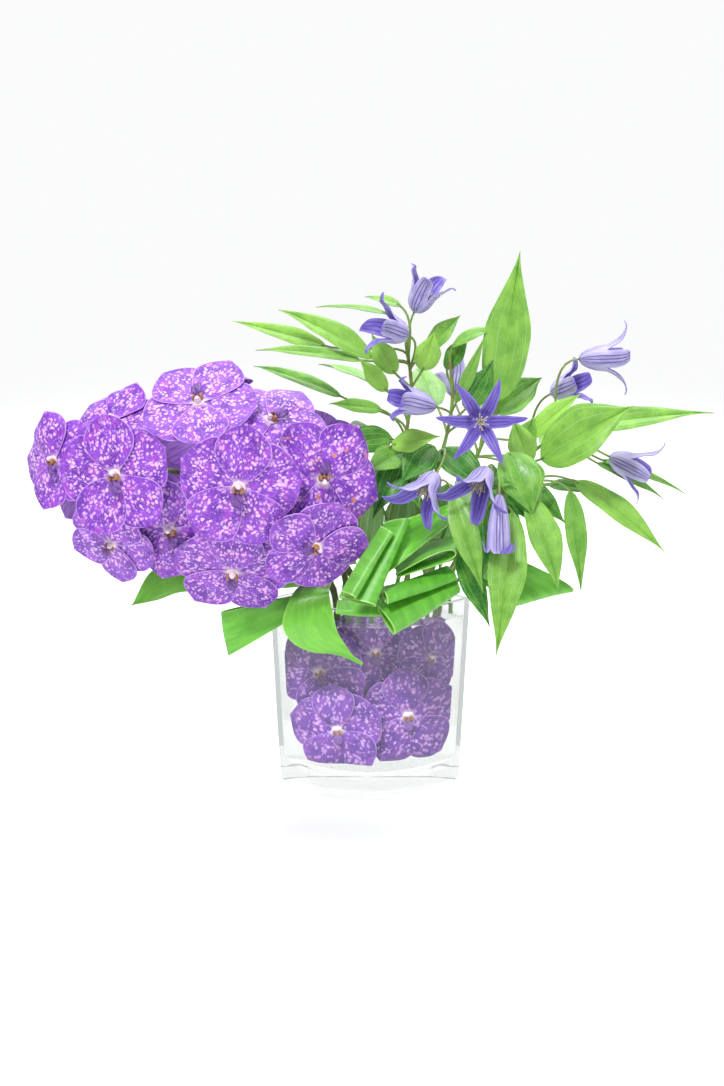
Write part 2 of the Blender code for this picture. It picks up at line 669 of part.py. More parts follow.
def leaf_solid(base, tip, width, bow, face):
    """Points and faces of a lance-shaped leaf with a shallow keel and thin edges."""
    middle = (base + tip) / 2 + face * bow * 2
    rings = []
    for t in LEAF_STATIONS:
        centre = base * (1 - t) ** 2 + middle * 2 * t * (1 - t) + tip * t * t
        tangent = unit((middle - base) * (1 - t) + (tip - middle) * t)
        normal = unit(face - tangent * (face @ tangent))
        side = np.cross(tangent, normal)
        half = width / 2 * sin(pi * t ** 0.72) ** (0.9 + 0.7 * t)
        half += LEAF_BASE_HALF_WIDTH * (1 - t)
        keel = LEAF_KEEL * width * (4 * t * (1 - t))
        thick = LEAF_THICKNESS / 2 * (1 - 0.5 * t)
        if t == 1.0:
            rings.append([centre])
        else:
            rings.append([centre + side * half, centre - normal * (keel - thick),
                          centre - side * half, centre - normal * (keel + thick)])
    return rings_to_solid(rings)


def twig(start, end, end_way):
    """Points and faces of a thin stalk that arches to its end and meets it along one way."""
    reach = TWIG_REACH * np.linalg.norm(end - start)
    out = start + np.array([0.0, 0.0, TWIG_LIFT]) * reach
    into = end - end_way * reach
    path = np.array([start * (1 - t) ** 3 + out * 3 * t * (1 - t) ** 2
                     + into * 3 * t * t * (1 - t) + end * t ** 3
                     for t in (0.0, 0.5, 0.97)] + [end])
    return tube(path, [TWIG_RADIUS] * len(path), TWIG_SIDES)


def make_sprig(number, name, points, material):
    """A clematis stem with its leaves and flower stalks, grown as one piece."""
    path = smooth_path([vec(point) for point in points], 12)
    coarse = path[::5]
    radii = np.linspace(SPRIG_RADIUS, SPRIG_RADIUS * (1 - SPRIG_TAPER), len(coarse))
    stem = add_object(name, *tube(coarse, radii, SPRIG_SIDES), material)
    parts = []
    for sprig, base, tip, width, bow, face in LEAVES:
        if sprig != number:
            continue
        base = vec(base)
        tip = vec(tip)
        start = nearest_on(path, base, 4)
        parts.append(add_object("leaf", *leaf_solid(base, tip, width * MM, bow * MM,
                                                    facing(*face))))
        along = unit((tip - base) / 2 + facing(*face) * bow * 2 * MM)
        parts.append(add_object("petiole", *twig(start, base + along * PETIOLE_OVERLAP,
                                                 along)))
    for sprig, base, way, *_ in BELLS:
        if sprig != number:
            continue
        end = vec(base) - facing(*way) * 2 * GAP
        start = nearest_on(path, end - facing(*way) * STALK_START, 4)
        parts.append(add_object("stalk", *twig(start, end, facing(*way))))
    return combine(stem, parts, "UNION")


def make_bell(name, base, way, length, mouth, parting, tepals, material):
    """A nodding clematis flower: a bell that parts into tepals with curled-back tips."""
    axis = facing(*way)
    right, up = frame_from(axis)
    base = vec(base)
    length *= MM
    mouth *= MM
    bulb = min(BELL_BULB_MOST, mouth * 0.6 + 0.002)
    low, narrow = BELL_SHOULDER

    def ring(height, radius, spread=0.0):
        points = []
        for k in range(BELL_STEPS):
            angle = tau * k / BELL_STEPS
            tepal = spread * (1 + cos(tepals * angle)) / 2
            out = radius + (mouth - radius) * tepal
            rise = height + (length - height) * tepal
            points.append(base + axis * rise + out * (right * cos(angle) + up * sin(angle)))
        return points

    neck = parting * length
    rings = [ring(0.0, BELL_FOOT_RADIUS), ring(low * neck, bulb * narrow), ring(neck, bulb),
             ring(neck + BELL_THICKNESS, bulb, 1.0), ring(neck, bulb - BELL_THICKNESS),
             ring(low * neck, bulb * narrow - BELL_THICKNESS), [base + axis * 0.2 * neck]]
    return add_object(name, *rings_to_solid(rings), material)


def blade_solid(rows, thickness):
    """Points and faces of a thin blade through rows of two edge points."""
    tangents = np.gradient(rows.mean(axis=1), axis=0)
    rings = []
    for (a, b), tangent, thick in zip(rows, tangents, thickness):
        normal = unit(np.cross(b - a, tangent)) * thick / 2
        rings.append([a + normal, b + normal, b - normal, a - normal])
    return rings_to_solid(rings)


def with_stalk(rows, along, side):
    """The rows of a blade, then those of its stalk, over the rim and down inside the glass."""
    x = along * MM
    width, depth = vase_size(VASE_HEIGHT, WALL + STALK_THICKNESS / 2 + 2 * GAP)
    reach = abs(x) + STALK_WIDTH / 2
    y = side * depth / 2 * (1 - (2 * reach / width) ** VASE_CORNER_POWER)
    path = smooth_path([rows[-1].mean(axis=0), np.array([x, y * 0.95, VASE_HEIGHT + STALK_RISE]),
                        np.array([x, y, VASE_HEIGHT - STALK_DIP]),
                        np.array([x, y, STALK_END])], 2)[1:]
    across = unit((rows[-1][1] - rows[-1][0]) * np.array([1, 0.1, 0.1])) * STALK_WIDTH / 2
    stalk = np.array([[point - across, point + across] for point in path])
    stalk[0] = stalk[0].mean(axis=0) + (stalk[0] - stalk[0].mean(axis=0)) * 2
    thickness = np.full(len(rows) + len(stalk), STALK_THICKNESS)
    thickness[:len(rows)] = BLADE_THICKNESS
    return np.vstack([rows, stalk]), thickness


def make_fold(name, nose_a, nose_b, end_a, end_b, radii, stalk, material):
    """A broad blade folded back on itself in a drop-shaped loop."""
    nose_a, nose_b, end_a, end_b = map(vec, (nose_a, nose_b, end_a, end_b))
    crease = nose_b - nose_a
    leg = (end_a + end_b - nose_a - nose_b) / 2
    out = unit(np.cross(crease, leg))
    out = out if out[2] < 0 else -out
    openings = [sqrt(2 * np.linalg.norm(leg) * radius * MM) for radius in radii]
    rows = []
    for u in np.linspace(-1, 1, FOLD_STEPS):
        row = []
        for nose, end, opening in ((nose_a, end_a, openings[0]), (nose_b, end_b, openings[1])):
            rise = LAYER_SPREAD / 2 * u * abs(u) + opening * u * (1 - abs(u))
            row.append(nose + (end - nose) * u * u + out * rise)
        rows.append(row)
    return add_object(name, *blade_solid(*with_stalk(np.array(rows), *stalk)), material)


def make_blade(name, stations, stalk, material):
    """An aspidistra leaf lying open, from its tip to its stalk in the vase."""
    edges = [smooth_path([vec(station[k]) for station in stations[::-1]], 2) for k in (0, 1)]
    rows = np.stack(edges, axis=1)
    return add_object(name, *blade_solid(*with_stalk(rows, *stalk)), material)


def main():
    clear_scene()
    glass = principled("clear_glass", (0.93, 0.97, 0.95), 0.03, 0.35, 0.9)
    water_look = principled("still_water", (0.90, 0.94, 0.94), 0.02, 0.35, 0.9)
    petal = principled("vanda_petal", (0.34, 0.12, 0.66), 0.55)
    sunk_petal = principled("sunk_petal", (0.33, 0.15, 0.58), 0.5)
    spike = principled("vanda_stem", (0.27, 0.38, 0.12), 0.5)
    clematis_green = principled("clematis_leaf", (0.14, 0.40, 0.05), 0.45)
    bell_look = principled("clematis_tepal", (0.38, 0.32, 0.72), 0.55)
    blade = principled("aspidistra_leaf", (0.10, 0.36, 0.03), 0.3)

    make_vase(glass)
    make_spike_blooms(petal)
    pockets = make_sunk_blooms(sunk_petal)
    for name, points in SPIKES.items():
        make_spike(name, points, spike)
        path = smooth_path([vec(point) for point in points], 3)
        radii = [SPIKE_RADIUS + GAP] * len(path)
        pockets.append(add_object("pocket", *tube(path, radii, SPIKE_SIDES)))
    for number, (name, points) in enumerate(SPRIGS.items(), 1):
        make_sprig(number, name, points, clematis_green)
        path = smooth_path([vec(point) for point in points], 3)
        radii = [SPRIG_RADIUS + 2 * GAP] * len(path)
        pockets.append(add_object("pocket", *tube(path, radii, SPRIG_SIDES)))
    make_water(water_look, pockets)
    for number, (_, *shape) in enumerate(BELLS, 1):
        make_bell(f"clematis_flower_{number:02d}", *shape, bell_look)
    for name, *shape in FOLDS:
        make_fold(name, *shape, blade)
    for name, *shape in BLADES:
        make_blade(name, *shape, blade)


main()
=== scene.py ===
# The looks of a vanda orchid arrangement: every stem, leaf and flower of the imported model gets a
# detailed piece. Metres, +Z up, the front towards -Y. Layout places are millimetres.

from itertools import combinations
from math import cos, pi, radians, sin, sqrt, tau

import bpy
import numpy as np
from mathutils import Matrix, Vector


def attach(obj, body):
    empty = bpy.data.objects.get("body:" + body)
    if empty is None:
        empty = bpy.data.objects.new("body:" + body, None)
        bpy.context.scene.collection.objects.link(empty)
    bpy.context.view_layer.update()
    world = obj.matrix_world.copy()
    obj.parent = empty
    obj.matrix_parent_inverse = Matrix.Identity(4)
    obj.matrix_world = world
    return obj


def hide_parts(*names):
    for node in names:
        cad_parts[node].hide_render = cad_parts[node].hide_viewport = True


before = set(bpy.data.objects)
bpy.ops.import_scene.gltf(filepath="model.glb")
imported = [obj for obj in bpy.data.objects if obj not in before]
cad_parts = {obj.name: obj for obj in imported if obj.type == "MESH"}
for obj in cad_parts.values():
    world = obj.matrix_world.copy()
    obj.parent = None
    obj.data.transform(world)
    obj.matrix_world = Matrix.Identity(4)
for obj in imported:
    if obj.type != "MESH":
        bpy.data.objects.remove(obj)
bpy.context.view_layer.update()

MM = 0.001
PIECE_EDGE_ANGLE = 50
GLASS_EDGE_ANGLE = 35

# Camera, lights and room. A light: name, place, what it points at, size, power
SENSOR = 36.0
PICTURE_HEIGHT = 1086
FOCAL_PIXELS = 1361.0
CAMERA_PLACE = (-0.006, -1.0, 0.416)
CAMERA_AIM = (-0.006, 0.0, 0.19)
LIGHTS = [
    ("key", (-0.7, -1.5, 2.2), (-0.03, 0, 0.2), 0.6, 50),
    ("fill", (1.9, -1.3, 1.3), (0.05, 0, 0.2), 1.4, 12),
    ("back", (0.3, 1.2, 2.0), (0, 0, 0.2), 1.0, 11),
    ("backdrop", (0.0, 0.9, 3.2), (0, 2.9, 1.6), 2.5, 130),
]
WORLD_LIGHT = 0.30
WORLD_SEEN = 0.95
MOST_BOUNCES = 24
GLOSSY_BOUNCES = 16
CLEAR_BOUNCES = 20
TRAPPED_DEPTH = 11.0
ROOM_HALF_WIDTH = 6.0
ROOM_FRONT = -4.0
ROOM_BACK = 3.0
ROOM_HEIGHT = 6.0
ROOM_SWEEP = 1.5

# Vase and water
VASE_HEIGHT = 0.148
RIM_WIDTH = 0.152
RIM_DEPTH = 0.077
BASE_WIDTH = 0.139
BASE_DEPTH = 0.073
WALL = 0.0038
FLOOR_THICKNESS = 0.017
FLOOR_ROUND = 0.006
FOOT_ROUND = 0.0016
WATER_LEVEL = 0.134
WATER_IN_GLASS = 0.0001
OUTLINE_STEPS = 48

# Vanda flower
GAP = 0.0003
CAD_PETAL = 0.0012
APART = CAD_PETAL / 2 + GAP
PETAL_THICKNESS = 0.0006
BLOOM_LOBES = 5
BLOOM_STEPS = 15
RING_SHARES = (0.0, 0.55, 1.0)
LOBE_NOTCH = 0.10
BLOOM_REFLEX = 0.10
LIP_RADIUS = 0.0055
PRESS_WIDTH = 0.004
PRESS_ROUNDS = 6
PLANE_TILTS = range(-80, 81, 10)
PLANE_LEVELS = 9
NEIGHBOUR_REACH = 0.1
OVERLAP = 0.007
SUNK_OVERLAP = 0.005
SUNK_WIDTH_SHARE = 0.965
SUNK_LIP_SHARE = 0.5
LAYER_STEP = 0.0010
SPIKE_RADIUS = 0.0030
SPIKE_TAPER = 0.4
FOOT_CLEARANCE = 0.0009
PEDICEL_FOOT_RADIUS = 0.0009
LOBE_ROWS = 20
LOBE_COLUMNS = 17

# Lobes of a flower: angle from its top, length and half width as shares of the radius, layer
LOBES = (
    (0, 0.98, 0.43, 0),
    (146, 1.02, 0.43, 1),
    (-146, 1.02, 0.43, 2),
    (72, 0.97, 0.53, 3),
    (-72, 0.97, 0.53, 4),
)

# Lumps of the lip in millimetres, for a flower of LIP_FLOWER radius: middle, half axes (right,
# up, out of the flower), material, sides
LIP_FLOWER = 0.045
LIP_LUMPS = [
    ((0, 0.4, 1.0), (4.6, 4.2, 1.8), 3, 14),
    ((0, 1.6, 3.6), (2.5, 2.3, 3.4), 3, 14),
    ((0, 2.0, 6.2), (1.7, 1.5, 1.2), 3, 12),
    ((-2.7, -1.2, 3.8), (1.5, 2.5, 3.2), 4, 14),
    ((-2.1, -0.6, 5.4), (1.1, 1.6, 1.4), 5, 12),
    ((2.7, -1.2, 3.8), (1.5, 2.5, 3.2), 4, 14),
    ((2.1, -0.6, 5.4), (1.1, 1.6, 1.4), 5, 12),
    ((0, -2.6, 3.0), (1.6, 1.8, 1.6), 4, 12),
]

# Clematis and aspidistra
SPRIG_RADIUS = 0.0019
TWIG_RADIUS = 0.0009
LEAF_THICKNESS = 0.0005
LEAF_ROWS = 25
LEAF_COLUMNS = 11
TEPAL_THICKNESS = 0.0006
TEPAL_ROWS = 26
TEPAL_COLUMNS = 11
STAMENS = 18
BLADE_THICKNESS = 0.0007
BLADE_COLUMNS = 13
FOLD_ROWS = 49
LAYER_SPREAD = 0.0026
STALK_WIDTH = 0.003
STALK_THICKNESS = 0.0018

# Points along each vanda stem, from its cut end up
SPIKES = [
    [(6, 14, 40), (0, 9, 90), (-8, 3, 150), (-38, -4, 200), (-90, -8, 236), (-145, -8, 246),
     (-190, -6, 250)],
    [(-10, 17, 40), (-12, 15, 90), (-17, 10, 150), (-30, 7, 192), (-62, 3, 232), (-100, 2, 262),
     (-150, 4, 272)],
    [(-28, 8, 40), (-26, 6, 90), (-27, 1, 150), (-46, -4, 180), (-90, -4, 208), (-150, -2, 222)],
]

# Blooms on the spikes: place of the centre, the way it faces (turn from the front towards +X,
# then lift above the horizon), its own roll, radius, spike, and how much its petals are scarred
SPIKE_BLOOMS = [
    ((-178, -64, 253), (-12, 4), 10, 45, 1, 0.0),
    ((-90, -84, 248), (-4, -4), -8, 46, 1, 0.12),
    ((-33, -70, 251), (14, 6), 176, 45, 2, 1.0),
    ((-122, -34, 300), (-14, 52), -162, 45, 2, 0.0),
    ((-70, -42, 289), (14, 48), 104, 42, 2, 0.0),
    ((-38, -74, 204), (20, -22), -90, 40, 1, 0.0),
    ((-98, -58, 182), (-4, -36), -10, 46, 3, 0.0),
    ((-142, -56, 212), (-6, -16), 20, 44, 3, 0.0),
    ((-186, -46, 200), (-24, -30), -40, 38, 1, 0.0),
    ((-229, -26, 257), (-34, 6), 20, 38, 1, 0.1),
    ((-190, -6, 284), (-24, 42), -10, 38, 1, 0.0),
    ((-152, -4, 190), (-20, -76), 0, 34, 3, 0.0),
    ((-68, -26, 170), (10, -64), 30, 31, 3, 0.0),
    ((-222, 46, 232), (-130, -6), 10, 38, 1, 0.0),
    ((-172, 58, 250), (-170, 8), -8, 43, 1, 0.0),
    ((-98, 70, 250), (180, 2), 12, 44, 1, 0.0),
    ((-36, 60, 244), (160, 4), -14, 42, 2, 0.0),
    ((-110, 34, 300), (172, 56), 20, 42, 2, 0.0),
    ((-128, 48, 196), (-170, -42), 0, 40, 3, 0.0),
    ((-62, 50, 194), (168, -36), 24, 38, 3, 0.0),
]

# Cut blooms under the water: place, way it faces, roll, radius
SUNK_BLOOMS = [
    ((28, -22, 61), (4, 4), 5, 41),
    ((-24, -23, 50), (-6, 2), 8, 38),
    ((-37, -9, 92), (-12, 6), 30, 39),
    ((4, -6, 107), (2, 6), 0, 33),
    ((45, -11, 103), (12, 6), -20, 30),
    ((-18, 24, 76), (178, 0), 10, 33),
]

# Points along each clematis stem, from its cut end up
SPRIGS = [
    [(16, 18, 40), (14, 17, 90), (9, 11, 150), (20, 6, 230), (30, 0, 300), (26, 0, 340)],
    [(26, 14, 40), (27, 14, 90), (26, 9, 150), (46, 0, 230), (60, 2, 290), (58, 2, 334)],
    [(36, 10, 40), (38, 10, 90), (41, 8, 150), (68, 10, 225), (90, 6, 280), (95, 2, 300)],
    [(46, 7, 40), (51, 7, 90), (57, 5, 150), (92, 10, 222), (122, 8, 258), (148, 10, 274)],
    [(44, 2, 40), (48, 1, 90), (52, -3, 150), (76, -32, 205), (100, -44, 238), (132, -16, 238)],
]

# Clematis leaves: sprig, base, tip, width, bow towards the upper side, way that side faces, and
# shade, from 0 for deep green to 1 for young yellow-green
LEAVES = [
    (1, (2, -5, 329), (-66, -12, 364), 21, 6, (0, 50), 0.7),
    (1, (-33, 4, 337), (-100, 2, 355), 13, 3, (0, 40), 0.8),
    (1, (-7, -12, 328), (-82, -22, 336), 13, 4, (0, 60), 0.6),
    (1, (12, 15, 360), (-40, 25, 364), 8, 3, (10, 70), 0.5),
    (1, (22, 8, 366), (-4, 14, 372), 9, 2, (0, 60), 0.6),
    (1, (-22, 6, 300), (-86, 8, 322), 13, 4, (0, 60), 0.4),
    (1, (12, -10, 306), (-8, -24, 330), 12, 3, (-20, 30), 0.9),
    (1, (18, -6, 318), (1, -12, 347), 16, 3, (-20, 20), 0.8),
    (1, (38, -4, 320), (46, -10, 348), 18, 3, (10, 20), 1.0),
    (1, (42, 6, 334), (66, 6, 359), 14, 3, (0, 40), 0.5),
    (1, (8, -8, 292), (-30, -24, 298), 11, 2, (0, 40), 0.5),
    (1, (16, -24, 268), (50, -36, 276), 16, 3, (0, 30), 0.9),
    (1, (24, -16, 262), (-3, -34, 250), 20, 4, (-10, 30), 0.4),
    (1, (14, 14, 302), (-40, 66, 318), 22, 6, (-150, 60), 0.5),
    (1, (14, 20, 268), (-20, 82, 262), 24, 6, (180, 40), 0.4),
    (2, (60, 0, 337), (94, -2, 348), 12, 6, (0, 60), 0.5),
    (2, (56, 6, 320), (72, 6, 347), 12, 2, (0, 20), 0.2),
    (2, (63, -10, 298), (82, -12, 345), 8, 3, (10, 10), 0.5),
    (2, (70, -6, 292), (89, -8, 328), 18, 4, (10, 10), 0.1),
    (5, (74, -48, 244), (101, -68, 247), 14, 4, (10, 40), 0.2),
    (2, (58, -58, 240), (78, -88, 174), 18, 6, (0, 10), 0.5),
    (2, (64, -44, 192), (86, -58, 141), 16, 4, (10, 10), 0.1),
    (2, (46, -12, 266), (22, -36, 242), 24, 5, (-10, 20), 0.1),
    (2, (52, -4, 262), (84, -30, 236), 24, 6, (10, 30), 0.1),
    (1, (18, 0, 240), (-10, -26, 224), 20, 4, (-10, 20), 0.2),
    (3, (80, 6, 246), (116, -24, 212), 24, 6, (10, 20), 0.1),
    (4, (104, 10, 238), (146, -12, 206), 22, 6, (20, 30), 0.2),
    (2, (50, 16, 292), (36, 88, 312), 24, 8, (180, 60), 0.5),
    (2, (44, 16, 246), (16, 92, 214), 22, 8, (176, 40), 0.4),
    (3, (94, -4, 298), (107, -6, 405), 33, 6, (-10, 10), 0.6),
    (3, (94, 6, 287), (129, 22, 312), 24, 5, (10, 50), 0.4),
    (3, (112, 4, 260), (121, 2, 285), 16, 3, (-10, 20), 0.4),
    (3, (118, 2, 270), (154, -6, 303), 18, 4, (0, 50), 1.0),
    (3, (116, -18, 254), (102, -34, 288), 19, 4, (-20, 30), 0.8),
    (5, (98, -44, 266), (114, -64, 222), 32, 8, (10, 20), 0.4),
    (3, (86, 18, 280), (92, 96, 304), 26, 9, (180, 60), 0.5),
    (3, (76, 20, 236), (84, 100, 190), 24, 10, (178, 40), 0.3),
    (4, (125, -15, 256), (187, -37, 298), 42, 8, (-10, 36), 0.6),
    (4, (146, 10, 274), (256, 10, 287), 20, 6, (0, 50), 0.6),
    (4, (172, 15, 248), (226, 25, 218), 12, 4, (10, 60), 0.4),
    (4, (176, 18, 250), (243, 27, 222), 10, 4, (10, 60), 0.5),
    (4, (130, 18, 262), (176, 80, 280), 24, 8, (150, 60), 0.5),
    (4, (104, 22, 234), (148, 88, 196), 22, 8, (150, 40), 0.3),
    (5, (112, -56, 236), (132, -75, 172), 22, 8, (14, 10), 0.55),
    (5, (146, -22, 234), (155, -32, 160), 15, 4, (10, 10), 0.4),
    (5, (152, -6, 238), (220, -14, 185), 23, 6, (20, 50), 0.7),
    (5, (134, 0, 234), (172, 5, 228), 14, 3, (0, 60), 0.2),
    (5, (100, -62, 226), (87, -96, 131), 25, 8, (0, 8), 0.55),
    (5, (80, -34, 216), (74, -46, 160), 22, 5, (0, 14), 0.05),
    (1, (22, -8, 248), (36, -38, 224), 18, 4, (0, 24), 0.1),
    (1, (22, -10, 258), (2, -36, 216), 24, 5, (-8, 20), 0.0),
    (1, (16, -2, 270), (-26, -22, 268), 20, 5, (-6, 20), 0.2),
    (5, (92, -40, 232), (98, -62, 176), 26, 6, (0, 10), 0.05),
    (1, (1, 18, 228), (-6, 20, 160), 24, 3, (180, 12), 0.1),
    (2, (31, 18, 230), (21, 22, 156), 31, 3, (180, 12), 0.0),
    (3, (60, 20, 232), (54, 24, 160), 26, 3, (180, 12), 0.15),
    (4, (86, 20, 224), (80, 26, 160), 24, 3, (180, 12), 0.1),
    (2, (46, 15, 214), (43, 16, 154), 24, 1, (180, 6), 0.1),
]

# Clematis flowers: sprig, base, way the bell opens, length, mouth radius, share of its height
# at which the tepals part, number of tepals
BELLS = [
    (1, (32, 0, 362), (70, 62), 40, 15, 0.30, 4),
    (1, (27, -16, 346), (-70, 20), 40, 17, 0.30, 4),
    (2, (46, -42, 298), (-72, 14), 42, 12, 0.50, 4),
    (2, (77, -46, 288), (0, 6), 22, 24, 0.20, 6),
    (2, (46, -62, 254), (-46, -44), 44, 20, 0.30, 4),
    (5, (81, -66, 258), (-32, -38), 46, 20, 0.30, 4),
    (5, (88, -84, 243), (0, -86), 46, 8, 0.80, 4),
    (4, (153, 0, 328), (86, 2), 46, 20, 0.42, 4),
    (4, (136, 22, 300), (60, 24), 38, 14, 0.40, 4),
    (4, (180, 10, 254), (74, -22), 46, 20, 0.30, 4),
    (3, (66, 52, 296), (170, 24), 44, 18, 0.35, 4),
]

# Folded aspidistra leaves: both ends of the fold, both far ends of the blade, the fold's radius
# at both ends, and where the stalk enters the vase: along the rim, and at its front (-1) or back
FOLDS = [
    ((-111, -24, 143), (-106, -28, 110), (-50, -25, 157), (-45, -29, 147), (4, 4), (-44, -1)),
    ((-11, -84, 170), (16, -62, 211), (-20, -77, 172), (8, -53, 214), (3, 3), (-16, -1)),
    ((3, -80, 163), (28, -52, 219), (-22, -70, 166), (11, -44, 215), (4, 3), (1, -1)),
    ((12, -60, 182), (27, -40, 217), (55, -42, 212), (62, -16, 224), (2, 2), (42, -1)),
    ((60, -62, 197), (67, -40, 203), (18, -54, 178), (26, -32, 188), (2.5, 2), (18, -1)),
    ((12, -78, 165), (62, -52, 176), (8, -58, 169), (56, -38, 180), (5, 3), (26, -1)),
    ((17, -80, 143), (65, -50, 165), (5, -63, 158), (60, -39, 175), (9, 4), (11, -1)),
    ((107, -36, 152), (150, -30, 161), (72, -4, 172), (100, -4, 182), (4, 4), (60, -1)),
    ((-60, 56, 162), (-12, 62, 168), (-36, 26, 166), (-10, 28, 168), (4, 4), (-20, 1)),
    ((18, 60, 166), (72, 52, 172), (14, 28, 164), (46, 24, 168), (4, 4), (30, 1)),
    ((-25, -50, 149), (8, -51, 147), (-24, -41, 156), (8, -41, 156), (2, 2), (-8, -1)),
]

# Aspidistra blades that lie open: both edges at stations from the stalk to the tip, and the
# stalk as above
BLADES = [
    ([((-46, -14, 163), (-28, -18, 165)), ((-56, -34, 160), (-30, -39, 162)), ((-64, -44, 141),
      (-27, -45, 147)), ((-58, -46, 127), (-24, -46, 134)), ((-43, -47, 119), (-18, -46, 124)),
      ((-24, -47, 117), (-13, -47, 117)), ((-6, -47, 109), (-5, -47, 110))], (-34, -1)),
    ([((-34, 22, 158), (-34, 14, 154)), ((-72, 20, 164), (-74, 6, 153)), ((-110, 10, 170),
      (-112, -6, 153)), ((-145, 0, 174), (-141, -8, 154)), ((-165, -5, 169), (-160, -9, 148)),
      ((-179, -10, 145), (-180, -10, 144))], (-40, 1)),
]


# Small helpers

def vec(points):
    """Layout points in millimetres as vectors in metres."""
    return np.array(points, float) * MM


def unit(vector):
    return vector / np.linalg.norm(vector)


def normalised(rows):
    return rows / np.maximum(np.linalg.norm(rows, axis=-1, keepdims=True), 1e-12)


def paired(a, b):
    """Two grids of values as one grid of pairs."""
    return np.stack(np.broadcast_arrays(a, b), -1)


def facing(turn, lift):
    """Unit vector turned from the front (-Y) towards +X, then lifted above the horizon."""
    turn = radians(turn)
    lift = radians(lift)
    return np.array([sin(turn) * cos(lift), -cos(turn) * cos(lift), sin(lift)])


def frame_from(normal, roll=0.0):
    """Right and up directions of a face with this normal, its up as near +Z as it can be."""
    up = np.array([0.0, 0.0, 1.0]) - normal * normal[2]
    up = unit(up) if np.linalg.norm(up) > 0.05 else np.array([0.0, 1.0, 0.0])
    right = np.cross(up, normal)
    angle = radians(roll)
    return right * cos(angle) + up * sin(angle), up * cos(angle) - right * sin(angle)


def smooth_path(points, steps):
    """Catmull-Rom curve through the points."""
    ring = [2 * points[0] - points[1], *points, 2 * points[-1] - points[-2]]
    path = []
    for a, b, c, d in zip(ring, ring[1:], ring[2:], ring[3:]):
        for k in range(steps):
            t = k / steps
            path.append(0.5 * (2 * b + (c - a) * t + (2 * a - 5 * b + 4 * c - d) * t * t
                               + (3 * b - a - 3 * c + d) * t ** 3))
    return np.array([*path, points[-1]])


def along_chords(path, steps=4):
    """Points along the straight pieces of a path."""
    shares = np.arange(0, len(path) - 1 + 1 / steps / 2, 1 / steps)
    return np.stack([np.interp(shares, np.arange(len(path)), path[:, k]) for k in range(3)], 1)


def cubic(a, b, c, d, t):
    """Points of a cubic Bezier curve at shares t."""
    t = np.asarray(t)[:, None]
    return a * (1 - t) ** 3 + b * 3 * t * (1 - t) ** 2 + c * 3 * t * t * (1 - t) + d * t ** 3


def run_length(path):
    """Distance along a path at each of its points."""
    return np.concatenate([[0], np.cumsum(np.linalg.norm(np.diff(path, axis=0), axis=1))])


def nearest_index(path, place):
    return int(np.argmin(np.linalg.norm(path - place, axis=1)))


def wrapped(index):
    """Quads between neighbouring closed rings of point numbers."""
    beside = np.roll(index, -1, axis=1)
    return np.stack([index[:-1], beside[:-1], beside[1:], index[1:]], -1).reshape(-1, 4)


def end_caps(index):
    """Quads that close the first and last of the rings of point numbers."""
    return [(ring[k], ring[k + 1], ring[-k - 2], ring[-k - 1])
            for ring in (index[0][::-1], index[-1]) for k in range(len(ring) // 2 - 1)]


# Objects: points and faces gathered from sheets and tubes, with three maps for the materials

def mesh_object(name, points, faces, materials, edge_angle):
    """A smooth-shaded object, sharp where its faces meet at more than an angle."""
    mesh = bpy.data.meshes.new(name)
    mesh.from_pydata(points, [], faces)
    for material in materials:
        mesh.materials.append(material)
    mesh.shade_smooth()
    mesh.set_sharp_from_angle(angle=radians(edge_angle))
    thing = bpy.data.objects.new(name, mesh)
    bpy.context.collection.objects.link(thing)
    return thing


def finish_piece(thing, node):
    """Put a piece in the place of its node."""
    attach(thing, "root")
    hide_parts(node)


